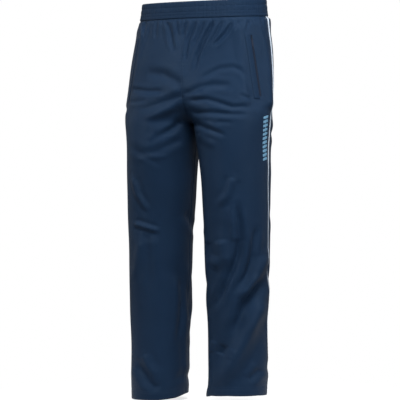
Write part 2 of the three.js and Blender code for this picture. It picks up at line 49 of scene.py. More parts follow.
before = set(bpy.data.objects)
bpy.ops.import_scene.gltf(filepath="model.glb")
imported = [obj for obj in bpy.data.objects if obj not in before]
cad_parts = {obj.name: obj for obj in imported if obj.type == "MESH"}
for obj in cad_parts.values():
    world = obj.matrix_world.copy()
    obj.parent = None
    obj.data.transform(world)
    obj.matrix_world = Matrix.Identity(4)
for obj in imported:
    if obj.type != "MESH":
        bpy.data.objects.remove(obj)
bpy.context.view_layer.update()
BODY = "trousers"
SIDES = ("left", "right")
MM = 0.001

# ------------------------------------------------------------------ the frame's own measures
OUTSEAM = -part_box("left_hem_turn_up")[0].z / MM
BAND_HEIGHT = 45.0
BAND_OVERLAP = 8.0
HEM_TURN = (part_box("left_hem_turn_up")[1].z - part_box("left_hem_turn_up")[0].z) / MM
RISE = 330.0
FORK_DROP = 190.0
HIP_DROP = 217.0
YOKE_DROP = 95.0
THIGH_DROP = 440.0
KNEE_DROP = 640.0
CALF_DROP = 850.0
RIM_SLOPE = 0.085
RIM_FADE_DROP = 200.0
PIPING_WIDTH = 3.4
POCKET_TOP_DROP = 97.0
POCKET_BOTTOM_DROP = 260.0
POCKET_TOP_ANGLE = math.radians(-29.5)
POCKET_BOTTOM_ANGLE = math.radians(-21.5)
POCKET_TOP_SINK = 1.0
POCKET_BOTTOM_SINK = 5.0
POCKET_FLAT_MARGIN = 8.0
POCKET_FLAT_BLEND = 28.0
SLOT_WIDTH = 6.4
WELT_WIDTH = 16.0
WELT_BEYOND = 5.0
GAP = 0.3
WAIST_RADIUS = 145.0
SEAM_FACE = 0.5
PANEL_TOP = BAND_HEIGHT - BAND_OVERLAP
BAND_STITCH_DROPS = (15.0, 28.5, 36.5)
BAND_FACE = 1.4
BAND_WALE = 1.4
STITCH_SINK = 0.35
STITCH_HEIGHT = 0.52
STITCH_INSET = 2.2
WELT_END_INSET = 2.4
WELT_STITCH_HEIGHT = 2.3
HEM_STITCH_DROPS = (OUTSEAM - HEM_TURN + 1.5, OUTSEAM - HEM_TURN + 7.5)
HEM_SINK = 0.5
HEM_SINK_REACH = 2.2
PRINT_HEIGHT = 0.68
COOL_SHINE = (0.6, 0.8, 1.0, 1)


def curve_through(pairs):
    """Smooth curve through (drop, value) pairs that never overshoots between them."""
    drops, values = (np.array(column, float) for column in zip(*pairs))
    rises = np.diff(values) / np.diff(drops)
    slopes = np.zeros(len(drops))
    slopes[0], slopes[-1] = rises[0] / 2, rises[-1] / 2
    before, after = rises[:-1], rises[1:]
    same_way = before * after > 0
    together = np.where(same_way, before + after, 1.0)
    slopes[1:-1] = np.where(same_way, 2 * before * after / together, 0.0)

    def at(drop):
        drop = np.clip(drop, drops[0], drops[-1])
        i = np.clip(np.searchsorted(drops, drop, side="right") - 1, 0, len(rises) - 1)
        span = drops[i + 1] - drops[i]
        t = (drop - drops[i]) / span
        t2, t3 = t * t, t * t * t
        return (
            values[i] * (2 * t3 - 3 * t2 + 1)
            + values[i + 1] * (3 * t2 - 2 * t3)
            + span * (slopes[i] * (t3 - 2 * t2 + t) + slopes[i + 1] * (t3 - t2))
        )

    return at


CROTCH_HALF_WIDTH = 203.0
crotch_stance = CROTCH_HALF_WIDTH / 2
outer_half_width = curve_through(
    [(0, 172), (BAND_HEIGHT, 178), (YOKE_DROP, 190), (HIP_DROP, 209), (RISE, CROTCH_HALF_WIDTH)]
    + [(THIGH_DROP, 199), (KNEE_DROP, 196), (OUTSEAM, 189)]
)
stance = curve_through(
    [(0, 0), (FORK_DROP, 0), (FORK_DROP + 0.65 * (RISE - FORK_DROP), 0.65 * crotch_stance)]
    + [(RISE, crotch_stance), (THIGH_DROP, 107), (KNEE_DROP, 111.5), (OUTSEAM, 114)]
)
front_depth = curve_through(
    [(0, 112), (HIP_DROP, 118), (RISE, 115), (THIGH_DROP, 106), (KNEE_DROP, 92), (OUTSEAM, 80)]
)
back_depth = curve_through(
    [(0, 118), (HIP_DROP, 142), (RISE, 122), (THIGH_DROP, 107), (KNEE_DROP, 93), (OUTSEAM, 81)]
)
sway = curve_through([(0, 0), (HIP_DROP, -20), (RISE, -30), (THIGH_DROP, -32), (OUTSEAM, -32)])
seam_angle = curve_through(
    [(0, math.radians(4.5)), (HIP_DROP, math.radians(4.5)), (KNEE_DROP, math.radians(7))]
    + [(CALF_DROP, math.radians(24)), (OUTSEAM, math.radians(31))]
)


def smooth(t):
    """Eases from 0 to 1, and stays there outside that range."""
    t = np.clip(t, 0, 1)
    return t * t * (3 - 2 * t)


def unit(v):
    """The same directions with length 1."""
    return v / np.linalg.norm(v, axis=-1, keepdims=True)


def draped_wall(angle, drop):
    """Points and outward directions of the left half's cloth, without pocket or folds."""
    angle, drop = np.broadcast_arrays(np.asarray(angle, float), np.asarray(drop, float))
    middle = stance(drop)
    half = outer_half_width(drop) - middle
    depth = np.where(angle < 0, front_depth(drop), back_depth(drop))
    y = sway(drop) + depth * np.sin(angle)
    z = RIM_SLOPE * y * smooth(1 - drop / RIM_FADE_DROP) - drop
    points = np.stack([middle + half * np.cos(angle), y, z], -1)
    outward = np.stack([np.cos(angle) / half, np.sin(angle) / depth, np.zeros_like(y)], -1)
    return points, unit(outward)


def pocket_frame():
    """Middle of the pocket's zip and its directions: out of the cloth, towards the back, up the zip."""
    top, top_out = draped_wall(POCKET_TOP_ANGLE, POCKET_TOP_DROP)
    bottom, bottom_out = draped_wall(POCKET_BOTTOM_ANGLE, POCKET_BOTTOM_DROP)
    half_length = np.linalg.norm(top - bottom) / 2
    top = top - POCKET_TOP_SINK * top_out
    bottom = bottom - POCKET_BOTTOM_SINK * bottom_out
    up = unit(top - bottom)
    back = unit(np.cross(up, top_out + bottom_out))
    return (top + bottom) / 2, np.stack([np.cross(back, up), back, up]), half_length


POCKET_MIDDLE, POCKET_AXES, SLOT_HALF_LENGTH = pocket_frame()
POCKET_FLAT_HALF_WIDTH = SLOT_WIDTH / 2 + GAP + WELT_WIDTH + POCKET_FLAT_MARGIN


def wall(angle, drop):
    """The left half's cloth with the pocket's surroundings lying flat, still without folds."""
    points, outward = draped_wall(angle, drop)
    local = (points - POCKET_MIDDLE) @ POCKET_AXES.T

    def fall(distance, core):
        return smooth(1 - (np.abs(distance) - core) / POCKET_FLAT_BLEND)

    flat = fall(local[..., 1], POCKET_FLAT_HALF_WIDTH)
    flat = flat * fall(local[..., 2], SLOT_HALF_LENGTH + WELT_BEYOND + POCKET_FLAT_MARGIN)
    flat = (flat * (local[..., 0] > -POCKET_FLAT_HALF_WIDTH))[..., None]
    points = points - POCKET_AXES[0] * local[..., :1] * flat
    return points, unit(outward * (1 - flat) + POCKET_AXES[0] * flat)


def angle_of(distance, drop):
    """Angle that stands for a distance along the cloth at the side seam."""
    return distance / ((front_depth(drop) + back_depth(drop)) / 2)


def inner_angle(drop, depth, gap):
    """Where a panel ends: on the centre plane above the crotch, on the inseam below it."""
    half = outer_half_width(drop) - stance(drop)
    on_centre = np.arccos(np.clip((gap - stance(drop)) / half, -1, 1))
    return np.minimum(on_centre, math.pi - gap / depth)


# ------------------------------------------------------------------ folds of the cloth
# A fold is (places, half width, height): places run along it, as (across, drop) from where the
# wearer's waist is seen, and a height below 0 is a crease. Each list is seen from one direction.
FRONT_LEFT = math.radians(25)
SEEN_FROM = 5000.0
EYE_DROP = 529.0
FOLD_SOFTNESS = 1.25

GATHERS_RIGHT = [
    ([(-154, 52), (-164, 95)], 3.4, -2.4),
    ([(-124, 52), (-130, 101)], 3.4, -2.2),
    ([(-97, 52), (-90, 82), (-80, 133)], 4.5, -3.2),
    ([(-72, 50), (-70, 88)], 3.2, -1.8),
]
GATHERS_LEFT = [
    ([(-44, 50), (-56, 96)], 3.2, -2.0),
    ([(-20, 50), (-42, 103), (-52, 160)], 3.8, -3.6),
    ([(2, 52), (-14, 88), (-26, 118)], 3.2, -2.4),
    ([(27, 50), (3, 94), (-17, 141), (-28, 188)], 4.0, -4.2),
    ([(50, 50), (30, 90), (14, 116)], 3.4, -2.6),
    ([(77, 55), (57, 85), (41, 101), (22, 120)], 4.2, -3.6),
    ([(92, 52), (84, 78)], 3.4, -1.8),
    ([(120, 50), (112, 84)], 3.2, -1.6),
]
BELOW_THE_BELLY = [([(-80, 300), (-36, 292), (12, 300)], 26, -3.0)]
CROTCH_DRAG_RIGHT = [
    ([(-61, 223), (-80, 210), (-110, 194), (-157, 191)], 9, -4),
    ([(-112, 239), (-150, 239), (-186, 235), (-200, 248)], 5, -3.2),
    ([(-56, 248), (-90, 261), (-124, 273), (-157, 285), (-176, 289)], 7, -3.8),
    ([(-154, 264), (-200, 268)], 4, -1.6),
    ([(-80, 282), (-125, 301), (-162, 312)], 5, 1.8),
    ([(-56, 285), (-84, 301), (-114, 316), (-149, 328)], 8, -2.8),
    ([(-74, 317), (-114, 344), (-154, 370)], 6, 2),
    ([(-58, 314), (-90, 341), (-114, 352), (-144, 365)], 7, -3),
    ([(-56, 365), (-90, 381), (-117, 394), (-141, 402), (-173, 401), (-202, 376)], 7, -2.3),
    ([(-144, 413), (-96, 414)], 4, 1.0),
    ([(-173, 405), (-138, 424), (-109, 440)], 5, -1.0),
]
CROTCH_DRAG_LEFT = [
    ([(-7, 207), (17, 191), (43, 178), (77, 174), (99, 183), (113, 201), (123, 223)], 5, -2.6),
    ([(-56, 248), (-34, 241), (-7, 227), (27, 222), (59, 223), (78, 227)], 6.5, -4.0),
    ([(97, 248), (110, 254), (131, 261)], 4, -2),
    ([(-48, 261), (-23, 262), (10, 261), (37, 268), (77, 282), (103, 280), (137, 284)], 5, -4),
    ([(-42, 290), (-17, 296), (17, 296), (59, 299), (121, 299)], 5, -3.8),
    ([(35, 320), (75, 321)], 4, -1.4),
    ([(-42, 314), (-23, 324), (10, 338), (37, 349), (59, 357)], 5, -3.8),
    ([(-13, 352), (10, 374), (35, 384)], 7, 2.2),
]
LEG_FOLDS_RIGHT = [
    ([(-190, 469), (-177, 515), (-157, 548), (-144, 557)], 5, 2.6),
    ([(-186, 592), (-157, 601), (-117, 613)], 4.5, 3.0),
    ([(-117, 626), (-144, 626), (-170, 621)], 8, -1.0),
    ([(-152, 619), (-149, 688), (-144, 768)], 9, -2),
    ([(-168, 640), (-178, 704), (-189, 747)], 7, 2),
    ([(-61, 736), (-58, 795), (-61, 843), (-72, 918)], 6, -2.6),
    ([(-48, 827), (-50, 912), (-48, 1030)], 4, 1.6),
    ([(-160, 934), (-147, 963), (-122, 992)], 8, 2.6),
    ([(-178, 958), (-152, 1000), (-133, 1019), (-109, 1014)], 8, -4),
]
LEG_FOLDS_LEFT = [
    ([(78, 469), (63, 515), (38, 547)], 6, 2),
    ([(46, 635), (51, 683), (22, 715)], 12, 4.2),
    ([(90, 544), (94, 587), (97, 635), (89, 677), (73, 717), (58, 752), (40, 798), (17, 830)], 6, -3.6),
    ([(139, 603), (134, 645), (126, 696), (115, 733), (97, 763)], 5, -2.4),
    ([(163, 677), (142, 733), (120, 768), (89, 798)], 8, 4),
    ([(161, 741), (131, 784), (107, 822), (97, 856), (75, 896)], 9, -4),
    ([(161, 800), (131, 859), (112, 904), (93, 944), (70, 992), (41, 1040)], 13, 6),
    ([(41, 950), (54, 923)], 9, -3),
    ([(121, 1022), (155, 987)], 6, -2.2),
]
SEAT_FOLDS = [
    ([(20, 270), (70, 262), (130, 236)], 9, -3),
    ([(20, 318), (75, 318), (150, 296)], 9, -4),
    ([(30, 372), (85, 368), (150, 340)], 8, -3.4),
    ([(45, 430), (100, 428), (160, 404)], 9, -2.6),
    ([(60, 610), (110, 622), (165, 606)], 8, -3),
    ([(60, 655), (112, 668), (160, 660)], 8, -2.4),
    ([(150, 720), (110, 800), (70, 850)], 11, -3),
    ([(70, 900), (110, 960), (160, 1000)], 12, 3),
]
OUTER_FOLDS = [
    ([(-60, 330), (0, 350), (60, 345)], 9, -2.4),
    ([(-50, 560), (-5, 600), (40, 612)], 9, -2.8),
    ([(-70, 700), (-20, 780), (10, 870)], 10, -2.6),
    ([(50, 720), (20, 820), (-20, 900)], 10, 2.6),
    ([(-60, 985), (0, 1005), (50, 990)], 9, -2.6),
]


def scaled(folds, wider=1.0, higher=1.0):
    """The same folds with their widths and heights multiplied."""
    return [(places, wider * width, higher * height) for places, width, height in folds]


def moved(folds, turned=1, lower=0):
    """The same folds shifted down, and mirrored where turned is -1."""
    return [([(turned * across, drop + lower) for across, drop in places], w, h) for places, w, h in folds]


# what shows from each direction, on both halves
FOLDS_SEEN = [
    (FRONT_LEFT, BELOW_THE_BELLY),
    (FRONT_LEFT, scaled(GATHERS_RIGHT + GATHERS_LEFT, 0.9, 1.2)),
    (FRONT_LEFT, scaled(CROTCH_DRAG_RIGHT + CROTCH_DRAG_LEFT, 1.0, 0.8)),
    (FRONT_LEFT, scaled(LEG_FOLDS_RIGHT, 1.0, 1.3)),
    (FRONT_LEFT, scaled(LEG_FOLDS_LEFT, 1.15, 2.1)),
    (math.radians(180), SEAT_FOLDS),
    (math.radians(180), moved(SEAT_FOLDS, turned=-1, lower=14)),
    (math.radians(105), OUTER_FOLDS),
    (math.radians(-105), moved(OUTER_FOLDS, turned=-1, lower=25)),
]


def distance_to_line(across, drop, places):
    """Distance of each point to a line of places, and how far along the line it is, from 0 to 1."""
    line = np.array(places, float)
    steps = np.linalg.norm(np.diff(line, axis=0), axis=1)
    before = np.concatenate([[0], np.cumsum(steps)])
    nearest = np.full(across.shape, np.inf)
    along = np.zeros(across.shape)
    for i, step in enumerate(steps):
        way = (line[i + 1] - line[i]) / step
        run = np.clip((across - line[i, 0]) * way[0] + (drop - line[i, 1]) * way[1], 0, step)
        apart = np.hypot(across - line[i, 0] - run * way[0], drop - line[i, 1] - run * way[1])
        closer = apart < nearest
        nearest = np.where(closer, apart, nearest)
        along = np.where(closer, before[i] + run, along)
    return nearest, along / before[-1]


def fold_height(points, outward, azimuth, folds):
    """Height of the folds that show from one direction, at each point of the cloth."""
    to_eye = np.array([math.sin(azimuth), -math.cos(azimuth), 0])
    sideways = np.array([math.cos(azimuth), math.sin(azimuth), 0])
    nearer = SEEN_FROM / (SEEN_FROM - points @ to_eye)
    across = points @ sideways * nearer
    drop = EYE_DROP - (points[..., 2] + EYE_DROP) * nearer
    showing = smooth((outward @ to_eye - 0.02) / 0.3)
    height = np.zeros(across.shape)
    for places, width, rise in folds:
        apart, along = distance_to_line(across, drop, places)
        q = apart / (FOLD_SOFTNESS * width)
        ends = smooth(along / 0.18 + 0.25) * smooth((1 - along) / 0.3 + 0.12)
        profile = np.exp(-q * q) - 0.38 * np.exp(-(((q - 2.1) / 1.0) ** 2))
        height += rise * profile * ends
    return height * showing


def waist_gathers(points, drop):
    """Small creases that hang from the waistband all the way round."""
    dice = np.random.default_rng(11)
    turn = np.arctan2(points[..., 1], points[..., 0])
    below = drop - BAND_HEIGHT
    height = np.zeros(drop.shape)
    count = 54
    for i in range(count):
        place = (i + 0.5 + dice.uniform(-0.42, 0.42)) * math.tau / count
        length, lean = dice.uniform(16, 70), dice.uniform(-0.2, 0.2)
        width, depth = dice.uniform(3.4, 6.4), dice.uniform(0.7, 2.4)
        apart = np.angle(np.exp(1j * (turn - place))) * WAIST_RADIUS - lean * below
        height -= depth * np.exp(-((apart / width) ** 2)) * smooth(1 - below / length)
    return height


side_press = curve_through([(100, 0), (HIP_DROP, 5), (RISE, 8.5), (380, 8), (THIGH_DROP + 20, 0)])
HANG_PLACES = (-200, -120, -75, -53, -42, 8, 24, 60, 140, 165)
HANG_DROPS = (11.0, 9.5, 4.5, -2.5, -4.5, -0.5, -8.0, -11.0, -10.5, -8.0)
HEM_KICK = 7.0
PULLER_ROOM = 27.0  # below the slot, where the puller hangs when the zip is open
KICK_PLACE = 14.0
KICK_REACH = 15.0
KICK_HEIGHT = 55.0

# (rates across, front to back and down, start, height) of the broad waves
WAVES = [
    (0.031, 0.012, 0.017, 0.6, 0.9), (-0.023, 0.03, 0.028, 2.1, 0.8), (0.012, -0.02, -0.021, 4.0, 1.2),
    (0.052, 0.041, 0.011, 1.3, 0.45), (-0.044, 0.036, 0.034, 5.2, 0.4), (0.019, -0.05, 0.047, 3.3, 0.45),
]


def unevenness(points, drop):
    """Broad, shallow waves that no hanging cloth is without."""
    height = np.zeros(drop.shape)
    for rate_x, rate_y, rate_z, start, size in WAVES:
        phase = rate_x * points[..., 0] + rate_y * points[..., 1] + rate_z * points[..., 2]
        height += size * np.sin(phase + start)
    return height * smooth((drop - 60) / 120) * (0.55 + 0.45 * smooth((THIGH_DROP - drop) / 100))


def side_shape(angle, drop):
    """How the cloth puffs out under the waistband and lies closer behind the side seam."""
    behind_seam = np.exp(-(((angle - 0.33) / 0.33) ** 2))
    puff = (2.4 + 5.0 * behind_seam) * smooth((drop - BAND_HEIGHT) / 8) * smooth((96 - drop) / 46)
    return puff - side_press(drop) * behind_seam


def hem_hang(across, drop):
    """How far below the pattern each hem hangs: the right leg's outer side most, the left leg least."""
    low = np.interp(across, HANG_PLACES, HANG_DROPS)
    return low * smooth((drop - KNEE_DROP) / (OUTSEAM - KNEE_DROP))


def around_pocket(points):
    """1 on the pocket, where the cloth is held flat, and 0 away from it."""
    local = (points - POCKET_MIDDLE) @ POCKET_AXES.T
    beyond = np.where(local[..., 2] < 0, PULLER_ROOM, 6)
    outside = np.hypot(
        np.maximum(np.abs(local[..., 1]) - 20, 0),
        np.maximum(np.abs(local[..., 2]) - SLOT_HALF_LENGTH - beyond, 0),
    )
    return smooth(1 - outside / 20) * (local[..., 0] > -POCKET_FLAT_HALF_WIDTH)


def cloth(side, angle, drop, offset=0.0):
    """Points of the finished cloth of one half, moved out by offset, with their outward directions."""
    look = bpy.context.scene.trousers_cloth
    angle, drop, offset = np.broadcast_arrays(
        np.asarray(angle, float), np.asarray(drop, float), np.asarray(offset, float)
    )
    points, outward = wall(angle, drop)
    held = around_pocket(points)
    if side == "right":
        points, outward = points * (-1, 1, 1), outward * (-1, 1, 1)
    height = look.gather_scale * waist_gathers(points, drop) + look.wave_scale * unevenness(points, drop)
    for azimuth, folds in FOLDS_SEEN:
        height = height + look.fold_scale * fold_height(points, outward, azimuth, folds)
    height = (height + side_shape(angle, drop)) * (1 - held) * smooth((drop - BAND_HEIGHT + 1) / 9)
    height = height * (0.4 + 0.6 * smooth((OUTSEAM - drop) / 40))
    points = points + outward * (height + offset)[..., None]
    across = points[..., 0] * math.cos(FRONT_LEFT) + points[..., 1] * math.sin(FRONT_LEFT)
    points[..., 2] -= hem_hang(across, drop)
    kick = HEM_KICK * np.exp(-(((across - KICK_PLACE) / KICK_REACH) ** 2))
    kick = kick * smooth((drop - OUTSEAM + KICK_HEIGHT) / KICK_HEIGHT)
    points[..., 0] -= kick * (side == "left")
    return points, outward


# ------------------------------------------------------------------ meshes
def new_object(name, mesh):
    """A new object of the scene that shows the mesh."""
    ob = bpy.data.objects.new(name, mesh)
    bpy.context.scene.collection.objects.link(ob)
    return ob


def mesh_from(name, points, faces, uvs=None):
    """A smooth-shaded mesh in metres from points in millimetres, with uvs per corner if given."""
    mesh = bpy.data.meshes.new(name)
    mesh.from_pydata((np.asarray(points).reshape(-1, 3) * MM).tolist(), [], faces)
    mesh.polygons.foreach_set("use_smooth", [True] * len(mesh.polygons))
    if uvs is not None:
        layer = mesh.uv_layers.new(name="cloth")
        corners = np.zeros(len(mesh.loops), int)
        mesh.loops.foreach_get("vertex_index", corners)
        layer.data.foreach_set("uv", np.asarray(uvs).reshape(-1, 2)[corners].ravel())
    mesh.update()
    return mesh


def grid_faces(rows, columns, close_rows=False, close_columns=False):
    """Faces of a grid of points, optionally closed on itself either way."""
    faces = []
    for r in range(rows if close_rows else rows - 1):
        for c in range(columns if close_columns else columns - 1):
            right, below = (c + 1) % columns, (r + 1) % rows
            faces.append((r * columns + c, below * columns + c, below * columns + right, r * columns + right))
    return faces


def face_outwards(ob):
    """Merges doubles and turns every face of a closed mesh outwards."""
    bm = bmesh.new()
    bm.from_mesh(ob.data)
    bmesh.ops.remove_doubles(bm, verts=bm.verts, dist=1e-6)
    bmesh.ops.recalc_face_normals(bm, faces=bm.faces)
    bm.to_mesh(ob.data)
    bm.free()


def grid_object(name, points, uvs):
    """A sheet of cloth from a grid of points."""
    rows, columns = points.shape[:2]
    return new_object(name, mesh_from(name, points, grid_faces(rows, columns), uvs))


def ring_object(name, points, down):
    """A sheet closed on itself all the way round, with its uvs running on without a break."""
    rows, columns = points.shape[:2]
    steps = np.linalg.norm(np.roll(points, -1, axis=1) - points, axis=2).mean(axis=0)
    wale = bpy.context.scene.trousers_cloth.wale / MM * BAND_WALE
    fitted = round(steps.sum() / wale) * wale / steps.sum() * MM
    run = np.concatenate([[0], np.cumsum(steps)]) * fitted
    uvs = np.stack(np.broadcast_arrays(run[None, :-1], down * MM), -1)
    mesh = mesh_from(name, points, grid_faces(rows, columns, close_columns=True), uvs)
    layer = mesh.uv_layers[0].data
    for face in list(mesh.polygons)[columns - 1 :: columns]:
        for corner in face.loop_indices:
            if mesh.loops[corner].vertex_index % columns == 0:
                layer[corner].uv.x = run[-1]
    return new_object(name, mesh)


def thicken(ob, thickness):
    """Gives a sheet its thickness, evenly to both sides, and keeps the result in the mesh."""
    solid = ob.modifiers.new("thickness", "SOLIDIFY")
    solid.thickness = thickness * MM
    solid.offset = 0
    solid.use_even_offset = False
    solid.use_rim = True
    keep_modifiers(ob)


def keep_modifiers(ob):
    """Turns what the modifiers show into the object's plain mesh."""
    bpy.context.view_layer.update()
    shown = ob.evaluated_get(bpy.context.evaluated_depsgraph_get())
    mesh = bpy.data.meshes.new_from_object(shown)
    ob.modifiers.clear()
    old = ob.data
    ob.data = mesh
    if old.users == 0:
        bpy.data.meshes.remove(old)
    mesh.name = ob.name


def place(ob, material, slot, *replaced, body=BODY):
    """Gives a finished piece its finish and its body, and hides the frame's solids that it stands for."""
    ob.data.materials.clear()
    ob.data.materials.append(material)
    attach(ob, body)
    if replaced:
        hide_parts(*replaced)
    return ob


def pocket_points(local, side):
    """Points given in the pocket's own directions, brought to one side of the trousers."""
    points = POCKET_MIDDLE + np.asarray(local, float) @ POCKET_AXES
    return points * (-1, 1, 1) if side == "right" else points


def row_lengths(points):
    """Distance of each point of a grid along its row."""
    steps = np.linalg.norm(np.diff(points, axis=1), axis=2)
    return np.concatenate([np.zeros((len(points), 1)), np.cumsum(steps, axis=1)], axis=1)


def grid_area(points):
    """Area of a grid of points in square metres."""
    a = points[:-1, 1:] - points[:-1, :-1]
    b = points[1:, :-1] - points[:-1, :-1]
    return float(np.linalg.norm(np.cross(a, b), axis=2).sum()) * MM * MM


# ------------------------------------------------------------------ node trees
def new_tree(name, inputs):
    """A geometry tree with named inputs, and its entry and exit nodes."""
    tree = bpy.data.node_groups.new(name, "GeometryNodeTree")
    for label, kind, value in inputs:
        socket = tree.interface.new_socket(label, in_out="INPUT", socket_type="NodeSocket" + kind)
        if value is not None:
            socket.default_value = value
    tree.interface.new_socket("Geometry", in_out="OUTPUT", socket_type="NodeSocketGeometry")
    return tree, tree.nodes.new("NodeGroupInput"), tree.nodes.new("NodeGroupOutput")


def linked(tree, kind, links, **settings):
    """A new node with its inputs taken from links (sockets) or set to plain values."""
    made = tree.nodes.new(kind)
    for key, value in settings.items():
        setattr(made, key, value)
    for key, source in links.items():
        if isinstance(source, bpy.types.NodeSocket):
            tree.links.new(source, made.inputs[key])
        else:
            made.inputs[key].default_value = source
    return made


def finish_tree(tree, entry, leave, geometry):
    """Ends a tree in real, smooth geometry with the given material."""
    real = linked(tree, "GeometryNodeRealizeInstances", {"Geometry": geometry})
    soft = linked(tree, "GeometryNodeSetShadeSmooth", {"Geometry": real.outputs[0]})
    dressed = linked(
        tree, "GeometryNodeSetMaterial", {"Geometry": soft.outputs[0], "Material": entry.outputs["Material"]}
    )
    tree.links.new(dressed.outputs[0], leave.inputs[0])


def stitch_tree():
    """Thread stitches laid one after the other along the edges of a mesh."""
    tree, entry, leave = new_tree(
        "stitches",
        [("Geometry", "Geometry", None), ("Pitch", "Float", 0.003), ("Length", "Float", 0.002)]
        + [("Width", "Float", 0.0006), ("Material", "Material", None)],
    )
    path = linked(tree, "GeometryNodeMeshToCurve", {"Mesh": entry.outputs["Geometry"]})
    places = linked(
        tree,
        "GeometryNodeCurveToPoints",
        {"Curve": path.outputs[0], "Length": entry.outputs["Pitch"]},
        mode="LENGTH",
    )
    turn = linked(
        tree, "FunctionNodeAlignRotationToVector", {"Vector": places.outputs["Tangent"]}, axis="Z"
    )
    thread = linked(tree, "GeometryNodeMeshUVSphere", {"Segments": 6, "Rings": 4, "Radius": 0.5})
    size = linked(
        tree,
        "ShaderNodeCombineXYZ",
        {"X": entry.outputs["Width"], "Y": entry.outputs["Width"], "Z": entry.outputs["Length"]},
    )
    sewn = linked(
        tree,
        "GeometryNodeInstanceOnPoints",
        {"Points": places.outputs["Points"], "Instance": thread.outputs["Mesh"]}
        | {"Rotation": turn.outputs[0], "Scale": size.outputs[0]},
    )
    finish_tree(tree, entry, leave, sewn.outputs[0])
    return tree


def coil_tree():
    """One row of a coil zip: a wound filament standing on its start, along Z."""
    tree, entry, leave = new_tree(
        "zip_coil_wire",
        [("Turns", "Float", 100.0), ("Radius", "Float", 0.0006), ("Length", "Float", 0.1)]
        + [("Wire", "Float", 0.0003), ("Material", "Material", None)],
    )
    wound = linked(
        tree,
        "GeometryNodeCurveSpiral",
        {"Resolution": 8, "Rotations": entry.outputs["Turns"], "Height": entry.outputs["Length"]}
        | {"Start Radius": entry.outputs["Radius"], "End Radius": entry.outputs["Radius"]},
    )
    section = linked(
        tree, "GeometryNodeCurvePrimitiveCircle", {"Resolution": 5, "Radius": entry.outputs["Wire"]}
    )
    wire = linked(
        tree,
        "GeometryNodeCurveToMesh",
        {"Curve": wound.outputs[0], "Profile Curve": section.outputs[0], "Fill Caps": True},
    )
    finish_tree(tree, entry, leave, wire.outputs[0])
    return tree


def run_tree(name, tree, mesh, values):
    """A new object whose plain mesh is what the tree makes of the given mesh."""
    ob = new_object(name, mesh)
    modifier = ob.modifiers.new(tree.name, "NODES")
    modifier.node_group = tree
    for item in tree.interface.items_tree:
        if item.in_out == "INPUT" and item.name in values:
            modifier[item.identifier] = values[item.name]
    keep_modifiers(ob)
    return ob


def line_mesh(name, lines, closed=False):
    """A mesh of bare edges along lines of points in millimetres."""
    points, edges = [], []
    for line in lines:
        start, count = len(points), len(line)
        points += [tuple(p) for p in np.asarray(line) * MM]
        edges += [(start + i, start + i + 1) for i in range(count - 1)]
        if closed:
            edges.append((start + count - 1, start))
    mesh = bpy.data.meshes.new(name)
    mesh.from_pydata(points, edges, [])
    return mesh


# ------------------------------------------------------------------ finishes
def shaded(name, **values):
    """A new material with its Principled shader set, and the tree, the shader and a texture place."""
    material = bpy.data.materials.new(name)
    material.use_nodes = True
    tree = material.node_tree
    shader = tree.nodes["Principled BSDF"]
    for key, value in values.items():
        shader.inputs[key.replace("_", " ")].default_value = value
    return material, tree, shader, tree.nodes.new("ShaderNodeTexCoord")


def colour_cloth(tree, shader, where, colour, scale, change):
    """Colours a shader with soft, uneven dye around one colour."""
    spots = linked(tree, "ShaderNodeTexNoise", {"Vector": where, "Scale": scale, "Detail": 6.0})
    dark = [channel * (1 - change) for channel in colour[:3]] + [1]
    pale = [min(1.0, channel * (1 + change)) for channel in colour[:3]] + [1]
    ramp = linked(tree, "ShaderNodeValToRGB", {"Fac": spots.outputs["Fac"]})
    ramp.color_ramp.elements[0].position = 0.3
    ramp.color_ramp.elements[1].position = 0.7
    ramp.color_ramp.elements[0].color = dark
    ramp.color_ramp.elements[1].color = pale
    tree.links.new(ramp.outputs[0], shader.inputs["Base Color"])


def waves(tree, axis, pitch, lean=None):
    """A sine of one coordinate with the given pitch in metres, moved along by lean."""
    turns = linked(tree, "ShaderNodeMath", {0: axis, 1: math.tau / pitch}, operation="MULTIPLY")
    if lean is not None:
        turns = linked(tree, "ShaderNodeMath", {0: turns.outputs[0], 1: lean}, operation="ADD")
    return linked(tree, "ShaderNodeMath", {0: turns.outputs[0]}, operation="SINE").outputs[0]


def bump(tree, shader, height, depth, strength=1.0):
    """Roughens a shader's surface by a height from 0 to 1 that stands for a depth in metres."""
    made = linked(tree, "ShaderNodeBump", {"Height": height, "Distance": depth, "Strength": strength})
    tree.links.new(made.outputs[0], shader.inputs["Normal"])


def knit_finish(name, colour, wale, roughness, sheen, depth):
    """Warp-knitted cloth: fine wales down the piece, crossed by slanting loops."""
    material, tree, shader, place_at = shaded(
        name,
        Roughness=roughness,
        Sheen_Weight=sheen,
        Sheen_Roughness=0.35,
        Sheen_Tint=(0.62, 0.76, 1.0, 1),
        Specular_IOR_Level=0.15,
        Specular_Tint=COOL_SHINE,
    )
    colour_cloth(tree, shader, place_at.outputs["Object"], colour, 9.0, 0.09)
    split = linked(tree, "ShaderNodeSeparateXYZ", {0: place_at.outputs["UV"]})
    wales = waves(tree, split.outputs["X"], wale)
    loops = waves(tree, split.outputs["Y"], wale * 0.8, wales)
    both = linked(tree, "ShaderNodeMath", {0: wales, 1: loops}, operation="ADD")
    bump(tree, shader, both.outputs[0], depth)
    return material


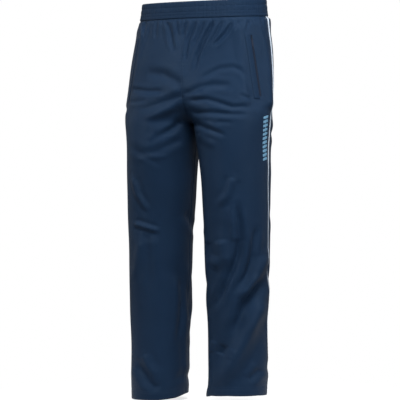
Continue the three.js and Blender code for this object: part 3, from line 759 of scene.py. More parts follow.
def woven_finish(name, colour, pitch, roughness, sheen, depth):
    """Plain cloth or tape whose weave lies over it in the object's own coordinates."""
    material, tree, shader, place_at = shaded(
        name,
        Roughness=roughness,
        Sheen_Weight=sheen,
        Sheen_Roughness=0.4,
        Specular_IOR_Level=0.2,
        Specular_Tint=COOL_SHINE,
    )
    colour_cloth(tree, shader, place_at.outputs["Object"], colour, 30.0, 0.08)
    split = linked(tree, "ShaderNodeSeparateXYZ", {0: place_at.outputs["Object"]})
    along = waves(tree, split.outputs["Z"], pitch)
    sideways = linked(tree, "ShaderNodeMath", {0: split.outputs["X"], 1: split.outputs["Y"]}, operation="ADD")
    across = waves(tree, sideways.outputs[0], pitch)
    both = linked(tree, "ShaderNodeMath", {0: along, 1: across}, operation="MULTIPLY")
    bump(tree, shader, both.outputs[0], depth)
    return material


def hard_finish(name, colour, roughness, metallic, grain):
    """Moulded or painted small parts, with a fine uneven surface."""
    material, tree, shader, place_at = shaded(
        name, Roughness=roughness, Metallic=metallic, Specular_IOR_Level=0.35, Specular_Tint=COOL_SHINE
    )
    colour_cloth(tree, shader, place_at.outputs["Object"], colour, 400.0, 0.12)
    spots = linked(tree, "ShaderNodeTexNoise", {"Vector": place_at.outputs["Object"], "Scale": 1500.0})
    bump(tree, shader, spots.outputs["Fac"], grain)
    return material


def finish_named(name):
    """The finish with that name, made the first time that it is asked for."""
    if name in bpy.data.materials:
        return bpy.data.materials[name]
    look, trim = bpy.context.scene.trousers_cloth, bpy.context.scene.trousers_trim
    navy = list(look.colour)
    deep, band, thread = ([channel * share for channel in navy] for share in (0.75, 0.92, 1.25))
    zip_navy = [navy[0] * 0.3, navy[1] * 1.2, navy[2] * 1.25]
    white = list(trim.piping_colour)
    makers = {
        "navy_tricot": lambda: knit_finish(name, navy, look.wale, look.roughness, look.sheen, 0.00006),
        "navy_tricot_inside": lambda: knit_finish(name, deep, look.wale, 0.7, 0.1, 0.00008),
        "waistband_rib": lambda: knit_finish(name, band, look.wale * BAND_WALE, 0.5, look.sheen, 0.0001),
        "white_piping_satin": lambda: woven_finish(name, white, 0.0006, 0.4, 0.2, 0.00004),
        "navy_thread": lambda: woven_finish(name, thread, 0.0004, 0.45, 0.2, 0.00003),
        "white_elastic": lambda: woven_finish(name, (0.78, 0.78, 0.75), 0.0012, 0.75, 0.1, 0.0001),
        "zip_tape": lambda: woven_finish(name, zip_navy, 0.0007, 0.7, 0.02, 0.00008),
        "zip_coil_nylon": lambda: hard_finish(name, zip_navy, 0.4, 0.0, 0.00001),
        "zip_enamel": lambda: hard_finish(name, (0.012, 0.02, 0.035), 0.3, 0.35, 0.00001),
        "pull_rubber": lambda: hard_finish(name, zip_navy, 0.55, 0.0, 0.00003),
        "light_blue_print": lambda: hard_finish(name, list(trim.print_colour), 0.42, 0.0, 0.00002),
        "label_satin": lambda: woven_finish(name, (0.82, 0.82, 0.79), 0.0005, 0.38, 0.1, 0.00003),
    }
    return makers[name]()


# ------------------------------------------------------------------ settings
def length(name, description, default, low, high):
    """A size in millimetres, kept in metres as Blender keeps lengths."""
    return bpy.props.FloatProperty(
        name=name,
        description=description,
        default=default * MM,
        min=low * MM,
        max=high * MM,
        precision=5,
        subtype="DISTANCE",
        unit="LENGTH",
    )


def colour(name, description, default):
    """A colour to choose."""
    return bpy.props.FloatVectorProperty(
        name=name, description=description, default=default, min=0, max=1, size=4, subtype="COLOR"
    )


def factor(name, description, default, high=1.0):
    """A plain number from 0 up."""
    return bpy.props.FloatProperty(
        name=name, description=description, default=default, min=0, max=high, subtype="FACTOR"
    )


class TrousersCloth(bpy.types.PropertyGroup):
    """Sizes and colours of the leg panels' cloth."""

    colour: colour("Cloth colour", "Colour of the knitted cloth", (0.0118, 0.0305, 0.0700, 1))
    thickness: length("Cloth thickness", "Thickness of the knitted cloth", 1.0, 0.3, 1.2)
    wale: length("Wale pitch", "Distance between two wales of the knit", 0.9, 0.4, 3)
    roughness: factor("Roughness", "Roughness of the knitted cloth", 0.4)
    sheen: factor("Sheen", "Soft shine of the cloth where it turns away", 0.04)
    fold_scale: factor("Fold depth", "How deep the folds are, as a share of those measured", 1.1, 3)
    gather_scale: factor("Gather depth", "How deep the gathers under the waistband are", 1.0, 3)
    wave_scale: factor("Unevenness", "Height of the cloth's broad waves", 1.0, 3)
    groove: length("Seam groove", "How far the cloth sinks at its seams", 0.9, 0, 3)
    pucker: length("Seam pucker", "Height of the puckers beside the seams", 0.35, 0, 2)
    turned_in: length("Seam allowance", "Depth of the cloth turned in at the seams", 5.0, 1, 10)
    columns: bpy.props.IntProperty(
        name="Columns", description="Columns of each panel's mesh", default=104, min=20, max=150
    )


class TrousersTrim(bpy.types.PropertyGroup):
    """Sizes and colours of the waistband, piping, stitches, print and zips."""

    piping_colour: colour("Piping colour", "Colour of the side piping", (0.66, 0.74, 0.84, 1))
    piping_width: length("Piping width", "Width of the side piping", 3.6, 2, 6)
    piping_proud: length("Piping height", "How far the piping stands out of the seam", 1.9, 1, 4)
    print_colour: colour("Print colour", "Colour of the print on the left thigh", (0.19, 0.40, 0.60, 1))
    band_puff: length("Band fullness", "How far the waistband swells between its rows of stitches", 1.3, 0, 3)
    stitch_pitch: length("Stitch pitch", "Distance from one stitch to the next", 3.0, 1.5, 6)
    stitch_length: length("Stitch length", "Length of one stitch", 2.2, 1, 5)
    thread_width: length("Thread width", "Width of the thread", 0.5, 0.2, 1)
    coil_pitch: length("Coil pitch", "Distance from one turn of the zip's coil to the next", 1.15, 0.6, 3)
    edge_softness: length("Edge softness", "Rounding of the small hard parts' edges", 0.22, 0.02, 0.4)


class TrousersStage(bpy.types.PropertyGroup):
    """The camera, the floor and the lights."""

    turn: bpy.props.FloatProperty(
        name="Camera turn", description="Angle from straight ahead to the wearer's left",
        default=FRONT_LEFT, subtype="ANGLE",
    )
    distance: length("Camera distance", "Distance from the camera to the waist's axis", SEEN_FROM, 2000, 9000)
    height: length("Camera height", "Height of the camera below the waist", EYE_DROP, 0, 1100)
    aim: length("Camera aim", "How far left of the waist's axis the camera points", 10.1, -100, 100)
    focal: bpy.props.FloatProperty(
        name="Focal length", description="Focal length in millimetres", default=168.5, min=20, max=300
    )
    floor_colour: colour("Floor colour", "Colour of the floor", (0.45, 0.45, 0.455, 1))
    daylight: factor("Surrounding light", "Strength of the light from all round", 0.15, 3)
    key: factor("Main light", "Power of the main light", 51, 500)
    fill: factor("Side light", "Power of the lights from the sides", 15, 500)


# ------------------------------------------------------------------ pieces
def panel_outline(part, drop):
    """The angles of a panel's two long edges: its inner edge and its side seam."""
    sign = -1 if part == "front" else 1
    depth = (front_depth if part == "front" else back_depth)(drop)
    inner = sign * inner_angle(drop, depth, SEAM_FACE)
    return inner, seam_angle(drop) + sign * angle_of(PIPING_WIDTH / 2 + GAP, drop)


def panel_drops():
    """The rows of a panel's mesh, closer together where the folds are finer."""
    upper = np.linspace(PANEL_TOP, THIGH_DROP, 172, endpoint=False)
    return np.concatenate([upper, np.linspace(THIGH_DROP, OUTSEAM, 196)])[:, None]


def panel_sheet(side, part):
    """One leg panel with its folds and its turned-in edges, still without thickness."""
    look = bpy.context.scene.trousers_cloth
    drop = panel_drops()
    fine = np.array([0.0, 0.002, 0.007])
    shares = np.concatenate([fine, np.linspace(0.015, 0.985, look.columns - 6), 1 - fine[::-1]])
    turned = np.array([-1.0, -0.45, -0.12]) * look.turned_in / MM
    share = np.concatenate([[0] * 3, shares, [1] * 3])
    below_label = 0.3 + 0.7 * smooth((drop - 66) / 30)
    cut_edges = [turned * below_label, np.zeros((len(drop), look.columns)), turned[::-1] * np.ones_like(drop)]
    depth = np.concatenate(cut_edges, axis=1)
    inner, outer = panel_outline(part, drop)
    angle = inner + (outer - inner) * share
    flat, _ = wall(angle, drop)
    run = row_lengths(flat)
    from_inner, from_seam = run, run[:, -1:] - run
    nearest = np.minimum(from_inner, from_seam)
    sunk = -look.groove / MM * np.exp(-((nearest / 2.6) ** 2))
    open_seam = np.where(from_inner < from_seam, smooth((drop - RISE) / 60), 1.0)
    sunk = sunk * (0.15 + 0.85 * open_seam)
    ripple = np.sin(drop / 1.45 + 1.7 * np.sin(drop / 17) + np.where(from_seam < from_inner, 0.9, 0))
    pucker = look.pucker / MM * ripple * np.exp(-nearest / 7) * smooth(nearest / 2)
    hem_edge = -0.45 * smooth((drop - OUTSEAM + 1.5) / 1.5)
    hem_fold = HEM_SINK * np.exp(-(((drop - OUTSEAM + HEM_TURN) / HEM_SINK_REACH) ** 2))
    points, _ = cloth(side, angle, drop, depth + sunk + pucker + hem_edge - hem_fold)
    sign = 1 if side == "left" else -1
    points[..., 0] = sign * np.maximum(points[..., 0] * sign, SEAM_FACE)
    points[drop[:, 0] < RISE + 4, : len(turned) + 1, 0] = sign * SEAM_FACE
    uvs = np.stack([from_seam + np.abs(depth), np.broadcast_to(drop, from_seam.shape)], -1) * MM
    ob = grid_object(f"{side}_{part}_cloth", points, uvs)
    cut = (float(run[:, -1].max()) * MM, (OUTSEAM - PANEL_TOP) * MM)
    return ob, cut, grid_area(flat)


def cut_pocket_mouth(ob, side):
    """Cuts the slot for the zip out of a front panel."""
    turn = np.array([-1, 1, 1] if side == "right" else [1, 1, 1])
    bm = bmesh.new()
    bm.from_mesh(ob.data)

    def local(place):
        return POCKET_AXES @ (np.array(place) / MM * turn - POCKET_MIDDLE)

    near_size = np.array([20, 16, SLOT_HALF_LENGTH + 12])
    for axis, reach in ((1, SLOT_WIDTH / 2), (2, SLOT_HALF_LENGTH)):
        for sign in (-1, 1):
            near = [f for f in bm.faces if (np.abs(local(f.calc_center_median())) < near_size).all()]
            geometry = list({e for f in near for e in [*f.verts, *f.edges]}) + near
            direction = POCKET_AXES[axis] * turn
            place_on = (POCKET_MIDDLE * turn + direction * sign * reach) * MM
            bmesh.ops.bisect_plane(bm, geom=geometry, dist=1e-6, plane_co=place_on, plane_no=direction)
    inside = np.array([20, SLOT_WIDTH / 2, SLOT_HALF_LENGTH])
    hole = [f for f in bm.faces if (np.abs(local(f.calc_center_median())) < inside).all()]
    bmesh.ops.delete(bm, geom=hole, context="FACES")
    bm.to_mesh(ob.data)
    bm.free()


class TrousersPanels(bpy.types.Operator):
    """Cuts and drapes the four leg panels, with their folds."""

    bl_idname = "trousers.panels"
    bl_label = "Leg panels"

    def execute(self, context):
        look = context.scene.trousers_cloth
        for side in SIDES:
            for part in ("front", "back"):
                ob, cut, area = panel_sheet(side, part)
                if part == "front":
                    cut_pocket_mouth(ob, side)
                thicken(ob, look.thickness / MM)
                place(ob, finish_named("navy_tricot"), "navy_knit", f"{side}_{part}_panel")
        return {"FINISHED"}


def leg_ring(drop):
    """The angles of a ring round one leg, without its last point, which is its first."""
    inner, _ = panel_outline("front", np.asarray(float(drop)))
    front = np.linspace(inner, 0, 90, endpoint=False)
    inner, _ = panel_outline("back", np.asarray(float(drop)))
    return np.concatenate([front, np.linspace(0, inner, 90)])


class TrousersHems(bpy.types.Operator):
    """Turns up the hem inside each leg."""

    bl_idname = "trousers.hems"
    bl_label = "Hem turn-ups"

    def execute(self, context):
        for side in SIDES:
            section = [(-1.3, OUTSEAM - 0.3), (-1.45, OUTSEAM - 2)]
            section += [(-1.5, OUTSEAM - 2 - (HEM_TURN - 3) * i / 8) for i in range(1, 8)]
            section += [(-1.35, OUTSEAM - HEM_TURN + 0.6)]
            ring = leg_ring(OUTSEAM)[None, :]
            drop = np.array([[d] for _, d in section])
            points, _ = cloth(side, ring, drop, np.array([[o] for o, _ in section]))
            ob = ring_object(f"{side}_hem_fold", points, drop)
            thicken(ob, 0.6)
            place(ob, finish_named("navy_tricot_inside"), "navy_lining", f"{side}_hem_turn_up")
        return {"FINISHED"}


def waist_ring(offset, drop, count=420):
    """Points all the way round the waist at offset and drop, which may be columns."""
    half = count // 2
    angle = (np.linspace(-math.pi / 2, math.pi / 2, half, endpoint=False) + math.pi / count)[None, :]
    offset = np.broadcast_to(offset, (len(drop), count))
    left, _ = cloth("left", angle, drop, offset[:, :half])
    right, _ = cloth("right", angle[:, ::-1], drop, offset[:, half:])
    return np.concatenate([left, right], axis=1)


def band_fullness(drop, count):
    """How far the waistband stands out between its rows of stitches, with its fine gathers."""
    puff = bpy.context.scene.trousers_trim.band_puff / MM
    rows = [0.0, *BAND_STITCH_DROPS, BAND_HEIGHT]
    height = np.zeros_like(drop)
    for above, below in zip(rows, rows[1:]):
        t = np.clip((drop - above) / (below - above), 0, 1)
        height += np.sqrt(np.clip(4 * t * (1 - t), 0, 1)) * min(1.0, (below - above) / 12)
    dice = np.random.default_rng(5)
    turn = np.linspace(0, math.tau, count, endpoint=False)[None, :]
    gathers = np.zeros((1, count))
    for rate in range(60, 190, 5):
        gathers = gathers + dice.uniform(0.3, 1) * np.sin(rate * turn + dice.uniform(0, math.tau))
    gathers = gathers / np.abs(gathers).max()
    return puff * height * (0.78 + 0.42 * gathers) + 0.18 * gathers


class TrousersWaistband(bpy.types.Operator):
    """Folds the waistband casing over its elastic, and sews the rows that hold it."""

    bl_idname = "trousers.waistband"
    bl_label = "Waistband and elastic"

    def execute(self, context):
        count = 420
        outer_drops = np.concatenate([[BAND_HEIGHT], np.linspace(BAND_HEIGHT - 0.8, 2.0, 46)])
        outer = np.full(len(outer_drops), BAND_FACE)
        outer[0] = BAND_FACE - 0.35
        over = [(1.25, 0.9), (0.7, 0.25), (0.0, 0.0), (-0.7, 0.25), (-1.25, 0.9)]
        inner_drops = np.linspace(2.0, BAND_HEIGHT, 16)
        drop = np.concatenate([outer_drops, [d for _, d in over], inner_drops])[:, None]
        offset = np.concatenate([outer, [o for o, _ in over], np.full(16, -BAND_FACE)])[:, None]
        full = band_fullness(drop, count)
        full[len(outer_drops):] *= -0.35
        full[len(outer_drops):len(outer_drops) + len(over)] = 0
        points = waist_ring(offset + full, drop, count)
        path = np.concatenate([[0], np.cumsum(np.hypot(np.diff(drop[:, 0]), np.diff(offset[:, 0])))])
        band = ring_object("waistband", points, path[:, None])
        thicken(band, 0.9)
        place(band, finish_named("waistband_rib"), "navy_band", "waistband_casing")

        rib_drops = np.linspace(1.6, PANEL_TOP - 0.6, 60)[:, None]
        ribs = 0.16 * np.sin(rib_drops * math.tau / 2.6)
        elastic_points = waist_ring(ribs, rib_drops, 200)
        elastic = ring_object("ribbed_elastic", elastic_points, rib_drops)
        thicken(elastic, 0.8)
        place(elastic, finish_named("white_elastic"), "white_elastic", "waist_elastic")

        level = BAND_FACE + 0.45
        lines = [waist_ring(np.array([[level]]), np.array([[d]]), 700)[0] for d in BAND_STITCH_DROPS]
        sew("waistband_stitches", lines, True)
        return {"FINISHED"}


def sew(name, lines, closed=False, material="navy_thread", slot="navy_knit"):
    """Rows of stitches along lines of points in millimetres."""
    trim = bpy.context.scene.trousers_trim
    tree = bpy.data.node_groups.get("stitches") or stitch_tree()
    values = {
        "Pitch": trim.stitch_pitch,
        "Length": trim.stitch_length,
        "Width": trim.thread_width,
        "Material": finish_named(material),
    }
    ob = run_tree(name, tree, line_mesh(name, lines, closed), values)
    return place(ob, finish_named(material), slot)


class TrousersPiping(bpy.types.Operator):
    """Lays the rounded piping into both side seams."""

    bl_idname = "trousers.piping"
    bl_label = "Side piping"

    def execute(self, context):
        trim = context.scene.trousers_trim
        half, proud = trim.piping_width / MM / 2, trim.piping_proud / MM
        turns = np.linspace(0, math.pi, 11)
        across = np.concatenate([[-half * 0.75], -half * np.cos(turns), [half * 0.75]])
        height = np.concatenate([[-2.4], -0.5 + (proud + 0.5) * np.sin(turns) ** 0.8, [-2.4]])
        for side in SIDES:
            drop = np.linspace(BAND_HEIGHT + 0.6, OUTSEAM - 0.2, 420)[:, None]
            wobble = 0.12 * np.sin(drop / 2.9) + 0.1 * np.sin(drop / 7.3 + 1)
            hidden = smooth((drop - THIGH_DROP + 40) / 80)
            angle = seam_angle(drop) + angle_of(across[None, :] * (1 - 0.35 * hidden), drop)
            pressed = -1.5 * hidden
            points, _ = cloth(side, angle, drop, height[None, :] + wobble + pressed)
            rows, columns = points.shape[:2]
            faces = grid_faces(rows, columns, close_columns=True)
            faces += [tuple(range(columns)), tuple((rows - 1) * columns + c for c in range(columns))]
            run = row_lengths(points)
            uvs = np.stack([run, np.broadcast_to(drop, run.shape)], -1) * MM
            ob = new_object(f"{side}_piping", mesh_from(f"{side}_piping", points, faces, uvs))
            face_outwards(ob)
            place(ob, finish_named("white_piping_satin"), "white_piping", f"{side}_side_piping")
        return {"FINISHED"}


def closed_strip(name, side, section, levels, material, slot, replaced):
    """A closed piece along the zip from outlines in the pocket's own directions."""
    rows = np.array([[(x, y, level) for x, y in section(level)] for level in levels])
    count = rows.shape[1]
    faces = grid_faces(len(rows), count, close_columns=True)
    faces += [tuple(range(count)), tuple((len(rows) - 1) * count + c for c in range(count))]
    ob = new_object(name, mesh_from(name, pocket_points(rows, side), faces))
    face_outwards(ob)
    return place(ob, finish_named(material), slot, *replaced)


class TrousersWelts(bpy.types.Operator):
    """Folds a welt and sews it down in front of each pocket's zip."""

    bl_idname = "trousers.welts"
    bl_label = "Pocket welts"

    def execute(self, context):
        near, far = -SLOT_WIDTH / 2 - 0.1, -SLOT_WIDTH / 2 - GAP - WELT_WIDTH
        end = SLOT_HALF_LENGTH + WELT_BEYOND
        shares = np.linspace(0, 1, 15)
        levels = np.concatenate([[-end], np.linspace(-end + 0.8, end - 0.8, 90), [end]])
        under = [(0.95, far + (near - 0.9 - far) * s) for s in shares[::3]]
        fold = [(1.05, near - 0.3), (1.45, near), (1.9, near - 0.25)]
        over_y = near - 0.8 + (far - near + 0.8) * shares
        for side in SIDES:
            rows = []
            for level in levels:
                ends = float(smooth((end - abs(level)) / 3.0))
                fullness = 0.25 + 0.75 * ends
                ripple = 0.12 * math.sin(level / 3.7) + 0.1 * math.sin(level / 8.1 + 1)
                row = [(x, y, level) for x, y in under]
                row += [(0.95 + (x - 0.95) * fullness, y, level) for x, y in fold]
                for y in over_y:
                    inset = min(near - 0.4 - y, y - far)
                    sewn = math.exp(-(((inset - STITCH_INSET) / 0.9) ** 2))
                    sewn += math.exp(-(((abs(level) - end + WELT_END_INSET) / 0.9) ** 2))
                    crown = 0.5 * float(smooth(inset / 3.5)) + ripple * float(smooth(inset / 4))
                    x = 1.85 + crown - STITCH_SINK * min(sewn, 1.0)
                    row.append((0.95 + (x - 0.95) * (fullness if y > far + 0.1 else 0.25), y, level))
                rows.append(row)
            points = pocket_points(np.array(rows), side)
            run = row_lengths(points)
            uvs = np.stack([run, np.broadcast_to(levels[:, None], run.shape)], -1) * MM
            ob = grid_object(f"{side}_welt", points, uvs)
            thicken(ob, 0.5)
            place(ob, finish_named("navy_tricot"), "navy_knit", f"{side}_pocket_welt")

            top = end - WELT_END_INSET
            corners = [(near - 0.4 - STITCH_INSET, -top), (near - 0.4 - STITCH_INSET, top)]
            corners += [(far + STITCH_INSET, top), (far + STITCH_INSET, -top), corners[0]]
            line = []
            for (y0, z0), (y1, z1) in zip(corners, corners[1:]):
                for t in np.linspace(0, 1, 60, endpoint=False):
                    line.append((WELT_STITCH_HEIGHT, y0 + (y1 - y0) * t, z0 + (z1 - z0) * t))
            sew(f"{side}_welt_stitches", [pocket_points(line, side)], True)
        return {"FINISHED"}


TAPE_FACE = -0.9
TAPE_NEAR = 0.55
TAPE_WIDTH = 12.25
TAPE_BEYOND = 6.0
TEETH_NEAR = 0.8
TEETH_WIDTH = 1.8
COIL_FACE = -1.8
COIL_HALF_LENGTH = SLOT_HALF_LENGTH - GAP
STOP_LENGTH = 2.4


def rounded_outline(low_x, high_x, low_y, high_y, corner, steps=4):
    """Outline of a bar with rounded edges, as (out, across) points."""
    points = []
    corners = [(high_x, high_y, 0), (low_x, high_y, 90), (low_x, low_y, 180), (high_x, low_y, 270)]
    for x, y, start in corners:
        for i in range(steps + 1):
            a = math.radians(start + 90 * i / steps)
            middle_x = x - corner if start in (0, 270) else x + corner
            middle_y = y - corner if start in (0, 90) else y + corner
            points.append((middle_x + corner * math.cos(a), middle_y + corner * math.sin(a)))
    return points


class TrousersZips(bpy.types.Operator):
    """Lays the tapes, coils and stops of both pocket zips."""

    bl_idname = "trousers.zips"
    bl_label = "Zip tapes, coils and stops"

    def execute(self, context):
        trim = context.scene.trousers_trim
        tree = bpy.data.node_groups.get("zip_coil_wire") or coil_tree()
        end = SLOT_HALF_LENGTH + TAPE_BEYOND
        coil_length = 2 * (COIL_HALF_LENGTH - STOP_LENGTH - GAP)
        for side in SIDES:
            for part, sign in (("front", -1), ("back", 1)):
                near, far = sorted((sign * TAPE_NEAR, sign * (TAPE_NEAR + TAPE_WIDTH)))

                def tape(level):
                    pinch = 0.05 * math.sin(level / 1.3)
                    return rounded_outline(TAPE_FACE - 0.6, TAPE_FACE, near + pinch, far, 0.25)

                closed_strip(
                    f"{side}_tape_{part}", side, tape, np.linspace(-end, end, 120),
                    "zip_tape", "zip_tape", [f"{side}_zip_tape_{part}"],
                )
                values = {
                    "Turns": coil_length * MM / trim.coil_pitch,
                    "Radius": 0.6 * MM,
                    "Length": coil_length * MM,
                    "Wire": 0.29 * MM,
                    "Material": finish_named("zip_coil_nylon"),
                }
                name = f"{side}_coil_{part}"
                coil = run_tree(name, tree, bpy.data.meshes.new(name), values)
                wound = np.zeros(len(coil.data.vertices) * 3)
                coil.data.vertices.foreach_get("co", wound)
                wound = wound.reshape(-1, 3) / MM
                middle = sign * (TEETH_NEAR + TEETH_WIDTH / 2)
                local = wound + (COIL_FACE - 0.95, middle, -coil_length / 2)
                coil.data.vertices.foreach_set("co", (pocket_points(local, side) * MM).ravel())
                coil.data.update()
                if side == "right":
                    coil.data.flip_normals()
                place(coil, finish_named("zip_coil_nylon"), "zip_coil", f"{side}_zip_coil_{part}")
            for part, sign in (("top", 1), ("bottom", -1)):
                far = COIL_HALF_LENGTH
                levels = sign * np.linspace(far - STOP_LENGTH, far, 8)
                half = TEETH_NEAR + TEETH_WIDTH

                def stop(level):
                    shrink = 0.35 * abs(2 * (abs(level) - far + STOP_LENGTH) / STOP_LENGTH - 1) ** 4
                    return rounded_outline(
                        COIL_FACE - 1.8 + shrink, COIL_FACE - shrink, -half + shrink, half - shrink, 0.5
                    )

                closed_strip(
                    f"{side}_stop_{part}", side, stop, levels,
                    "zip_coil_nylon", "zip_coil", [f"{side}_zip_stop_{part}"],
                )
        return {"FINISHED"}


def softened(node, name, width):
    """A copy of a small solid of the frame with its edges rounded."""
    mesh = bpy.data.meshes.new(name)
    bm = bmesh.new()
    bm.from_mesh(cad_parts[node].data)
    bmesh.ops.remove_doubles(bm, verts=bm.verts, dist=1e-6)
    bmesh.ops.dissolve_limit(bm, angle_limit=math.radians(2), verts=bm.verts, edges=bm.edges)
    bmesh.ops.recalc_face_normals(bm, faces=bm.faces)
    bm.to_mesh(mesh)
    bm.free()
    ob = new_object(name, mesh)
    bevel = ob.modifiers.new("rounded edges", "BEVEL")
    bevel.width = width
    bevel.segments = 3
    bevel.limit_method = "ANGLE"
    bevel.angle_limit = math.radians(35)
    bevel.use_clamp_overlap = True
    keep_modifiers(ob)
    ob.data.polygons.foreach_set("use_smooth", [True] * len(ob.data.polygons))
    return ob


class TrousersSliders(bpy.types.Operator):
    """Finishes the zips' sliders and the pullers that hang from them."""

    bl_idname = "trousers.sliders"
    bl_label = "Sliders and pullers"

    def execute(self, context):
        width = context.scene.trousers_trim.edge_softness
        for side in SIDES:
            slider = softened(f"{side}_zip_slider", f"{side}_slider_body", width)
            body = f"{side}_slider"
            place(slider, finish_named("zip_enamel"), "zip_metal", f"{side}_zip_slider", body=body)
            puller = softened(f"{side}_zip_puller", f"{side}_puller_tab", width)
            body = f"{side}_puller"
            place(puller, finish_named("pull_rubber"), "pull_rubber", f"{side}_zip_puller", body=body)
        return {"FINISHED"}


BAG_FRONT_ANGLE = math.radians(-60)
BAG_BACK_ANGLE = math.radians(-15)
BAG_TOP_DROP = 84.0
BAG_BOTTOM_DROP = 298.0
BAG_FACES = {"outer": -5.3, "inner": -8.4}


class TrousersBags(bpy.types.Operator):
    """Hangs the two layers of each pocket's bag behind the zip."""

    bl_idname = "trousers.bags"
    bl_label = "Pocket bags"

    def execute(self, context):
        drop = np.linspace(BAG_TOP_DROP, BAG_BOTTOM_DROP, 80)[:, None]
        angle = np.linspace(BAG_FRONT_ANGLE, BAG_BACK_ANGLE, 44)[None, :]
        edge = np.minimum(np.minimum(drop - BAG_TOP_DROP, BAG_BOTTOM_DROP - drop) / 12, 1)
        sides = np.minimum(angle - BAG_FRONT_ANGLE, BAG_BACK_ANGLE - angle) * 100 / 12
        slack = smooth(np.minimum(edge, np.minimum(sides, 1)))
        for side in SIDES:
            for layer, face in BAG_FACES.items():
                crumple = 0.5 * np.sin(drop / 11 + angle * 9) + 0.4 * np.sin(drop / 23 - angle * 17 + 2)
                sag = (crumple - 0.9) * slack if layer == "inner" else 0.25 * (crumple - 0.9) * slack
                points, _ = cloth(side, angle, drop, face - 0.3 + sag)
                run = row_lengths(points)
                uvs = np.stack([run, np.broadcast_to(drop, run.shape)], -1) * MM
                ob = grid_object(f"{side}_bag_{layer}", points, uvs)
                thicken(ob, 0.5)
                material = finish_named("navy_tricot_inside")
                place(ob, material, "navy_lining", f"{side}_pocket_bag_{layer}")
        return {"FINISHED"}


MOTIF_TOP_DROP = 308.0
MOTIF_BARS = 11
MOTIF_PITCH = 10.8
MOTIF_BAR_HEIGHT = 6.8
MOTIF_WIDTH = 22.0
MOTIF_SLANT = 5.0
MOTIF_SPINE = 2.0
MOTIF_TOP_FROM_SEAM = 36.0
MOTIF_BOTTOM_FROM_SEAM = 23.5
MOTIF_LENGTH = MOTIF_SLANT + (MOTIF_BARS - 1) * MOTIF_PITCH + MOTIF_BAR_HEIGHT


class TrousersMotif(bpy.types.Operator):
    """Prints the column of slanted bars on the left thigh."""

    bl_idname = "trousers.motif"
    bl_label = "Thigh print"

    def execute(self, context):
        points, faces, uvs = [], [], []

        def bar(left, right, top_drop, height, slant, columns, rows, corner):
            start = len(points)
            for r in range(rows):
                for c in range(columns):
                    share, level = c / (columns - 1), r / (rows - 1)
                    s = left + (right - left) * share
                    reach = min(s - left, right - s)
                    pinch = corner - math.sqrt(max(0.0, corner**2 - max(0.0, corner - reach) ** 2))
                    drop = top_drop - slant * share + pinch + (height - 2 * pinch) * level
                    down = (drop - MOTIF_TOP_DROP) / MOTIF_LENGTH
                    middle = MOTIF_TOP_FROM_SEAM + (MOTIF_BOTTOM_FROM_SEAM - MOTIF_TOP_FROM_SEAM) * down
                    angle = seam_angle(drop) + angle_of(s - middle, drop)
                    points.append((float(angle), float(drop)))
                    uvs.append((s * MM, drop * MM))
            faces.extend(tuple(start + i for i in face) for face in grid_faces(rows, columns))

        half = MOTIF_WIDTH / 2
        for i in range(MOTIF_BARS):
            top = MOTIF_TOP_DROP + MOTIF_SLANT + i * MOTIF_PITCH
            bar(-half, half, top, MOTIF_BAR_HEIGHT, MOTIF_SLANT, 24, 8, 1.4)
            if i < MOTIF_BARS - 1:
                below = top - MOTIF_SLANT / 2 + MOTIF_BAR_HEIGHT - 1
                between = MOTIF_PITCH - MOTIF_BAR_HEIGHT + 2
                bar(-MOTIF_SPINE / 2, MOTIF_SPINE / 2, below, between, 0, 4, 5, 0.01)
        angles, drops = np.array(points).T
        laid, _ = cloth("left", angles, drops, PRINT_HEIGHT)
        ob = new_object("thigh_print", mesh_from("thigh_print", laid, faces, uvs))
        thicken(ob, 0.28)
        place(ob, finish_named("light_blue_print"), "light_blue_print", "left_thigh_motif")
        return {"FINISHED"}


class TrousersLabel(bpy.types.Operator):
    """Sews the blank care label inside the middle of the back."""

    bl_idname = "trousers.label"
    bl_label = "Care label"

    def execute(self, context):
        low, high = (np.array(corner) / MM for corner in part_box("care_label"))
        rows, columns = 26, 14
        across = np.linspace(low[0] + 0.3, high[0] - 0.3, columns)[None, :]
        level = np.linspace(0, 1, rows)[:, None]
        middle = (low[1] + high[1]) / 2 - 0.2
        curl = -3.2 * level**3 - 0.5 * np.sin(across / 6) * level**2
        points = np.stack(
            np.broadcast_arrays(across, middle + curl, high[2] - 0.3 + (low[2] - high[2] + 0.6) * level), -1
        )
        run = row_lengths(points)
        uvs = np.stack([run, np.broadcast_to(level * (high[2] - low[2]), run.shape)], -1) * MM
        ob = grid_object("blank_care_label", points, uvs)
        thicken(ob, 0.35)
        place(ob, finish_named("label_satin"), "label_satin", "care_label")
        line = [(x, middle - 0.35, high[2] - 3) for x in across[0]]
        sew("label_stitches", [line])
        return {"FINISHED"}


class TrousersSeams(bpy.types.Operator):
    """Sews the two rows round each hem and the rows beside the pocket mouths."""

    bl_idname = "trousers.seams"
    bl_label = "Hem and pocket stitches"

    def execute(self, context):
        for side in SIDES:
            lines = []
            for drop in HEM_STITCH_DROPS:
                sink = HEM_SINK * math.exp(-(((drop - OUTSEAM + HEM_TURN) / HEM_SINK_REACH) ** 2))
                points, _ = cloth(side, leg_ring(drop), drop, STITCH_HEIGHT - sink)
                lines.append(points)
            sew(f"{side}_hem_stitches", lines, True)
            levels = np.linspace(-SLOT_HALF_LENGTH, SLOT_HALF_LENGTH, 90)
            line = [(STITCH_HEIGHT, SLOT_WIDTH / 2 + STITCH_INSET, level) for level in levels]
            sew(f"{side}_pocket_edge_stitches", [pocket_points(line, side)])
        return {"FINISHED"}


# ------------------------------------------------------------------ stage
FLOOR_GLOW = 0.2
FLOOR_GLOW_SEEN = 0.55
FLOOR_REACH = 0.62


def aimed(ob, place_at, target):
    """Puts a camera or a light in its place, facing the target."""
    ob.location = place_at
    ob.rotation_euler = (Vector(target) - Vector(place_at)).to_track_quat("-Z", "Y").to_euler()
    bpy.context.scene.collection.objects.link(ob)


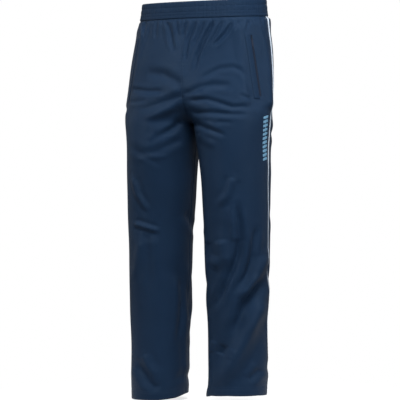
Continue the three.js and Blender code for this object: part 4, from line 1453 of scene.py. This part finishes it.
class TrousersStagePieces(bpy.types.Operator):
    """Sets the camera, the pale floor and the soft lights."""

    bl_idname = "trousers.stage"
    bl_label = "Camera, floor and lights"

    def execute(self, context):
        stage = context.scene.trousers_stage
        to_eye = Vector((math.sin(stage.turn), -math.cos(stage.turn), 0))
        sideways = Vector((math.cos(stage.turn), math.sin(stage.turn), 0))
        target = -stage.aim * sideways + Vector((0, 0, -stage.height))
        data = bpy.data.cameras.new("camera")
        data.lens = stage.focal
        camera = bpy.data.objects.new("camera", data)
        aimed(camera, target + stage.distance * to_eye, target)
        context.scene.camera = camera

        floor_mesh = bpy.data.meshes.new("floor")
        level, corners = (-OUTSEAM - max(HANG_DROPS)) * MM - 0.002, 96
        turns = [math.tau * i / corners for i in range(corners)]
        rim = [(FLOOR_REACH * math.cos(turn), FLOOR_REACH * math.sin(turn), level) for turn in turns]
        floor_mesh.from_pydata(rim, [], [tuple(range(corners))])
        floor = new_object("floor", floor_mesh)
        material, tree, shader, place_at = shaded("pale_floor", Roughness=0.9, Specular_IOR_Level=0.1)
        colour_cloth(tree, shader, place_at.outputs["Object"], list(stage.floor_colour), 2.0, 0.01)
        shader.inputs["Emission Color"].default_value = (1, 1, 1, 1)
        ray = tree.nodes.new("ShaderNodeLightPath")
        levels = {0: ray.outputs["Is Camera Ray"], 1: FLOOR_GLOW_SEEN, 2: FLOOR_GLOW}
        glow = linked(tree, "ShaderNodeMath", levels, operation="MULTIPLY_ADD")
        tree.links.new(glow.outputs[0], shader.inputs["Emission Strength"])
        floor_mesh.materials.append(material)

        middle = Vector((0, 0, -0.15))
        for name, power, size, turn, rise, away in (
            ("main_light", stage.key, 1.1, 27, 42, 2.1),
            ("side_light", stage.fill, 1.4, 85, 12, 2.6),
            ("other_side_light", stage.fill, 1.4, -75, 12, 2.6),
            ("back_light", 0.75 * stage.key, 1.4, 200, 40, 2.3),
        ):
            light = bpy.data.lights.new(name, "AREA")
            light.energy = power
            light.size = size
            light.color = (1, 1, 1) if power > stage.fill else (0.82, 0.93, 1)
            a, b = math.radians(turn), math.radians(rise)
            direction = Vector((math.sin(a) * math.cos(b), -math.cos(a) * math.cos(b), math.sin(b)))
            aimed(bpy.data.objects.new(name, light), middle + away * direction, middle)

        world = bpy.data.worlds.new("studio")
        world.use_nodes = True
        context.scene.world = world
        sky = world.node_tree
        surroundings = sky.nodes["Background"]
        surroundings.inputs["Strength"].default_value = stage.daylight
        seen = linked(sky, "ShaderNodeBackground", {"Color": (1, 1, 1, 1), "Strength": 1.0})
        surroundings.inputs["Color"].default_value = (0.97, 0.985, 1, 1)
        ray = sky.nodes.new("ShaderNodeLightPath")
        both = linked(
            sky,
            "ShaderNodeMixShader",
            {0: ray.outputs["Is Camera Ray"], 1: surroundings.outputs[0], 2: seen.outputs[0]},
        )
        sky.links.new(both.outputs[0], sky.nodes["World Output"].inputs[0])
        context.scene.view_settings.view_transform = "Standard"
        return {"FINISHED"}


PIECE_OPERATORS = (
    TrousersPanels,
    TrousersWaistband,
    TrousersPiping,
    TrousersHems,
    TrousersBags,
    TrousersZips,
    TrousersSliders,
    TrousersWelts,
    TrousersMotif,
    TrousersLabel,
    TrousersSeams,
    TrousersStagePieces,
)


class TrousersPanel(bpy.types.Panel):
    """Lists what the trousers are made of, and their sizes and colours."""

    bl_idname = "VIEW3D_PT_trousers"
    bl_label = "Trousers"
    bl_space_type = "VIEW_3D"
    bl_region_type = "UI"
    bl_category = "Trousers"

    def draw(self, context):
        scene = context.scene
        for group in (scene.trousers_cloth, scene.trousers_trim, scene.trousers_stage):
            box = self.layout.box()
            for key in group.bl_rna.properties.keys():
                if key not in ("rna_type", "name"):
                    box.prop(group, key)
        for operator in PIECE_OPERATORS:
            self.layout.operator(operator.bl_idname)


CLASSES = (TrousersCloth, TrousersTrim, TrousersStage, *PIECE_OPERATORS, TrousersPanel)


def register():
    for kind in CLASSES:
        bpy.utils.register_class(kind)
    bpy.types.Scene.trousers_cloth = bpy.props.PointerProperty(type=TrousersCloth)
    bpy.types.Scene.trousers_trim = bpy.props.PointerProperty(type=TrousersTrim)
    bpy.types.Scene.trousers_stage = bpy.props.PointerProperty(type=TrousersStage)


def unregister():
    del bpy.types.Scene.trousers_stage
    del bpy.types.Scene.trousers_trim
    del bpy.types.Scene.trousers_cloth
    for kind in reversed(CLASSES):
        bpy.utils.unregister_class(kind)


def main():
    register()
    for operator in PIECE_OPERATORS:
        group, name = operator.bl_idname.split(".")
        getattr(getattr(bpy.ops, group), name)()


if __name__ == "__main__":
    main()
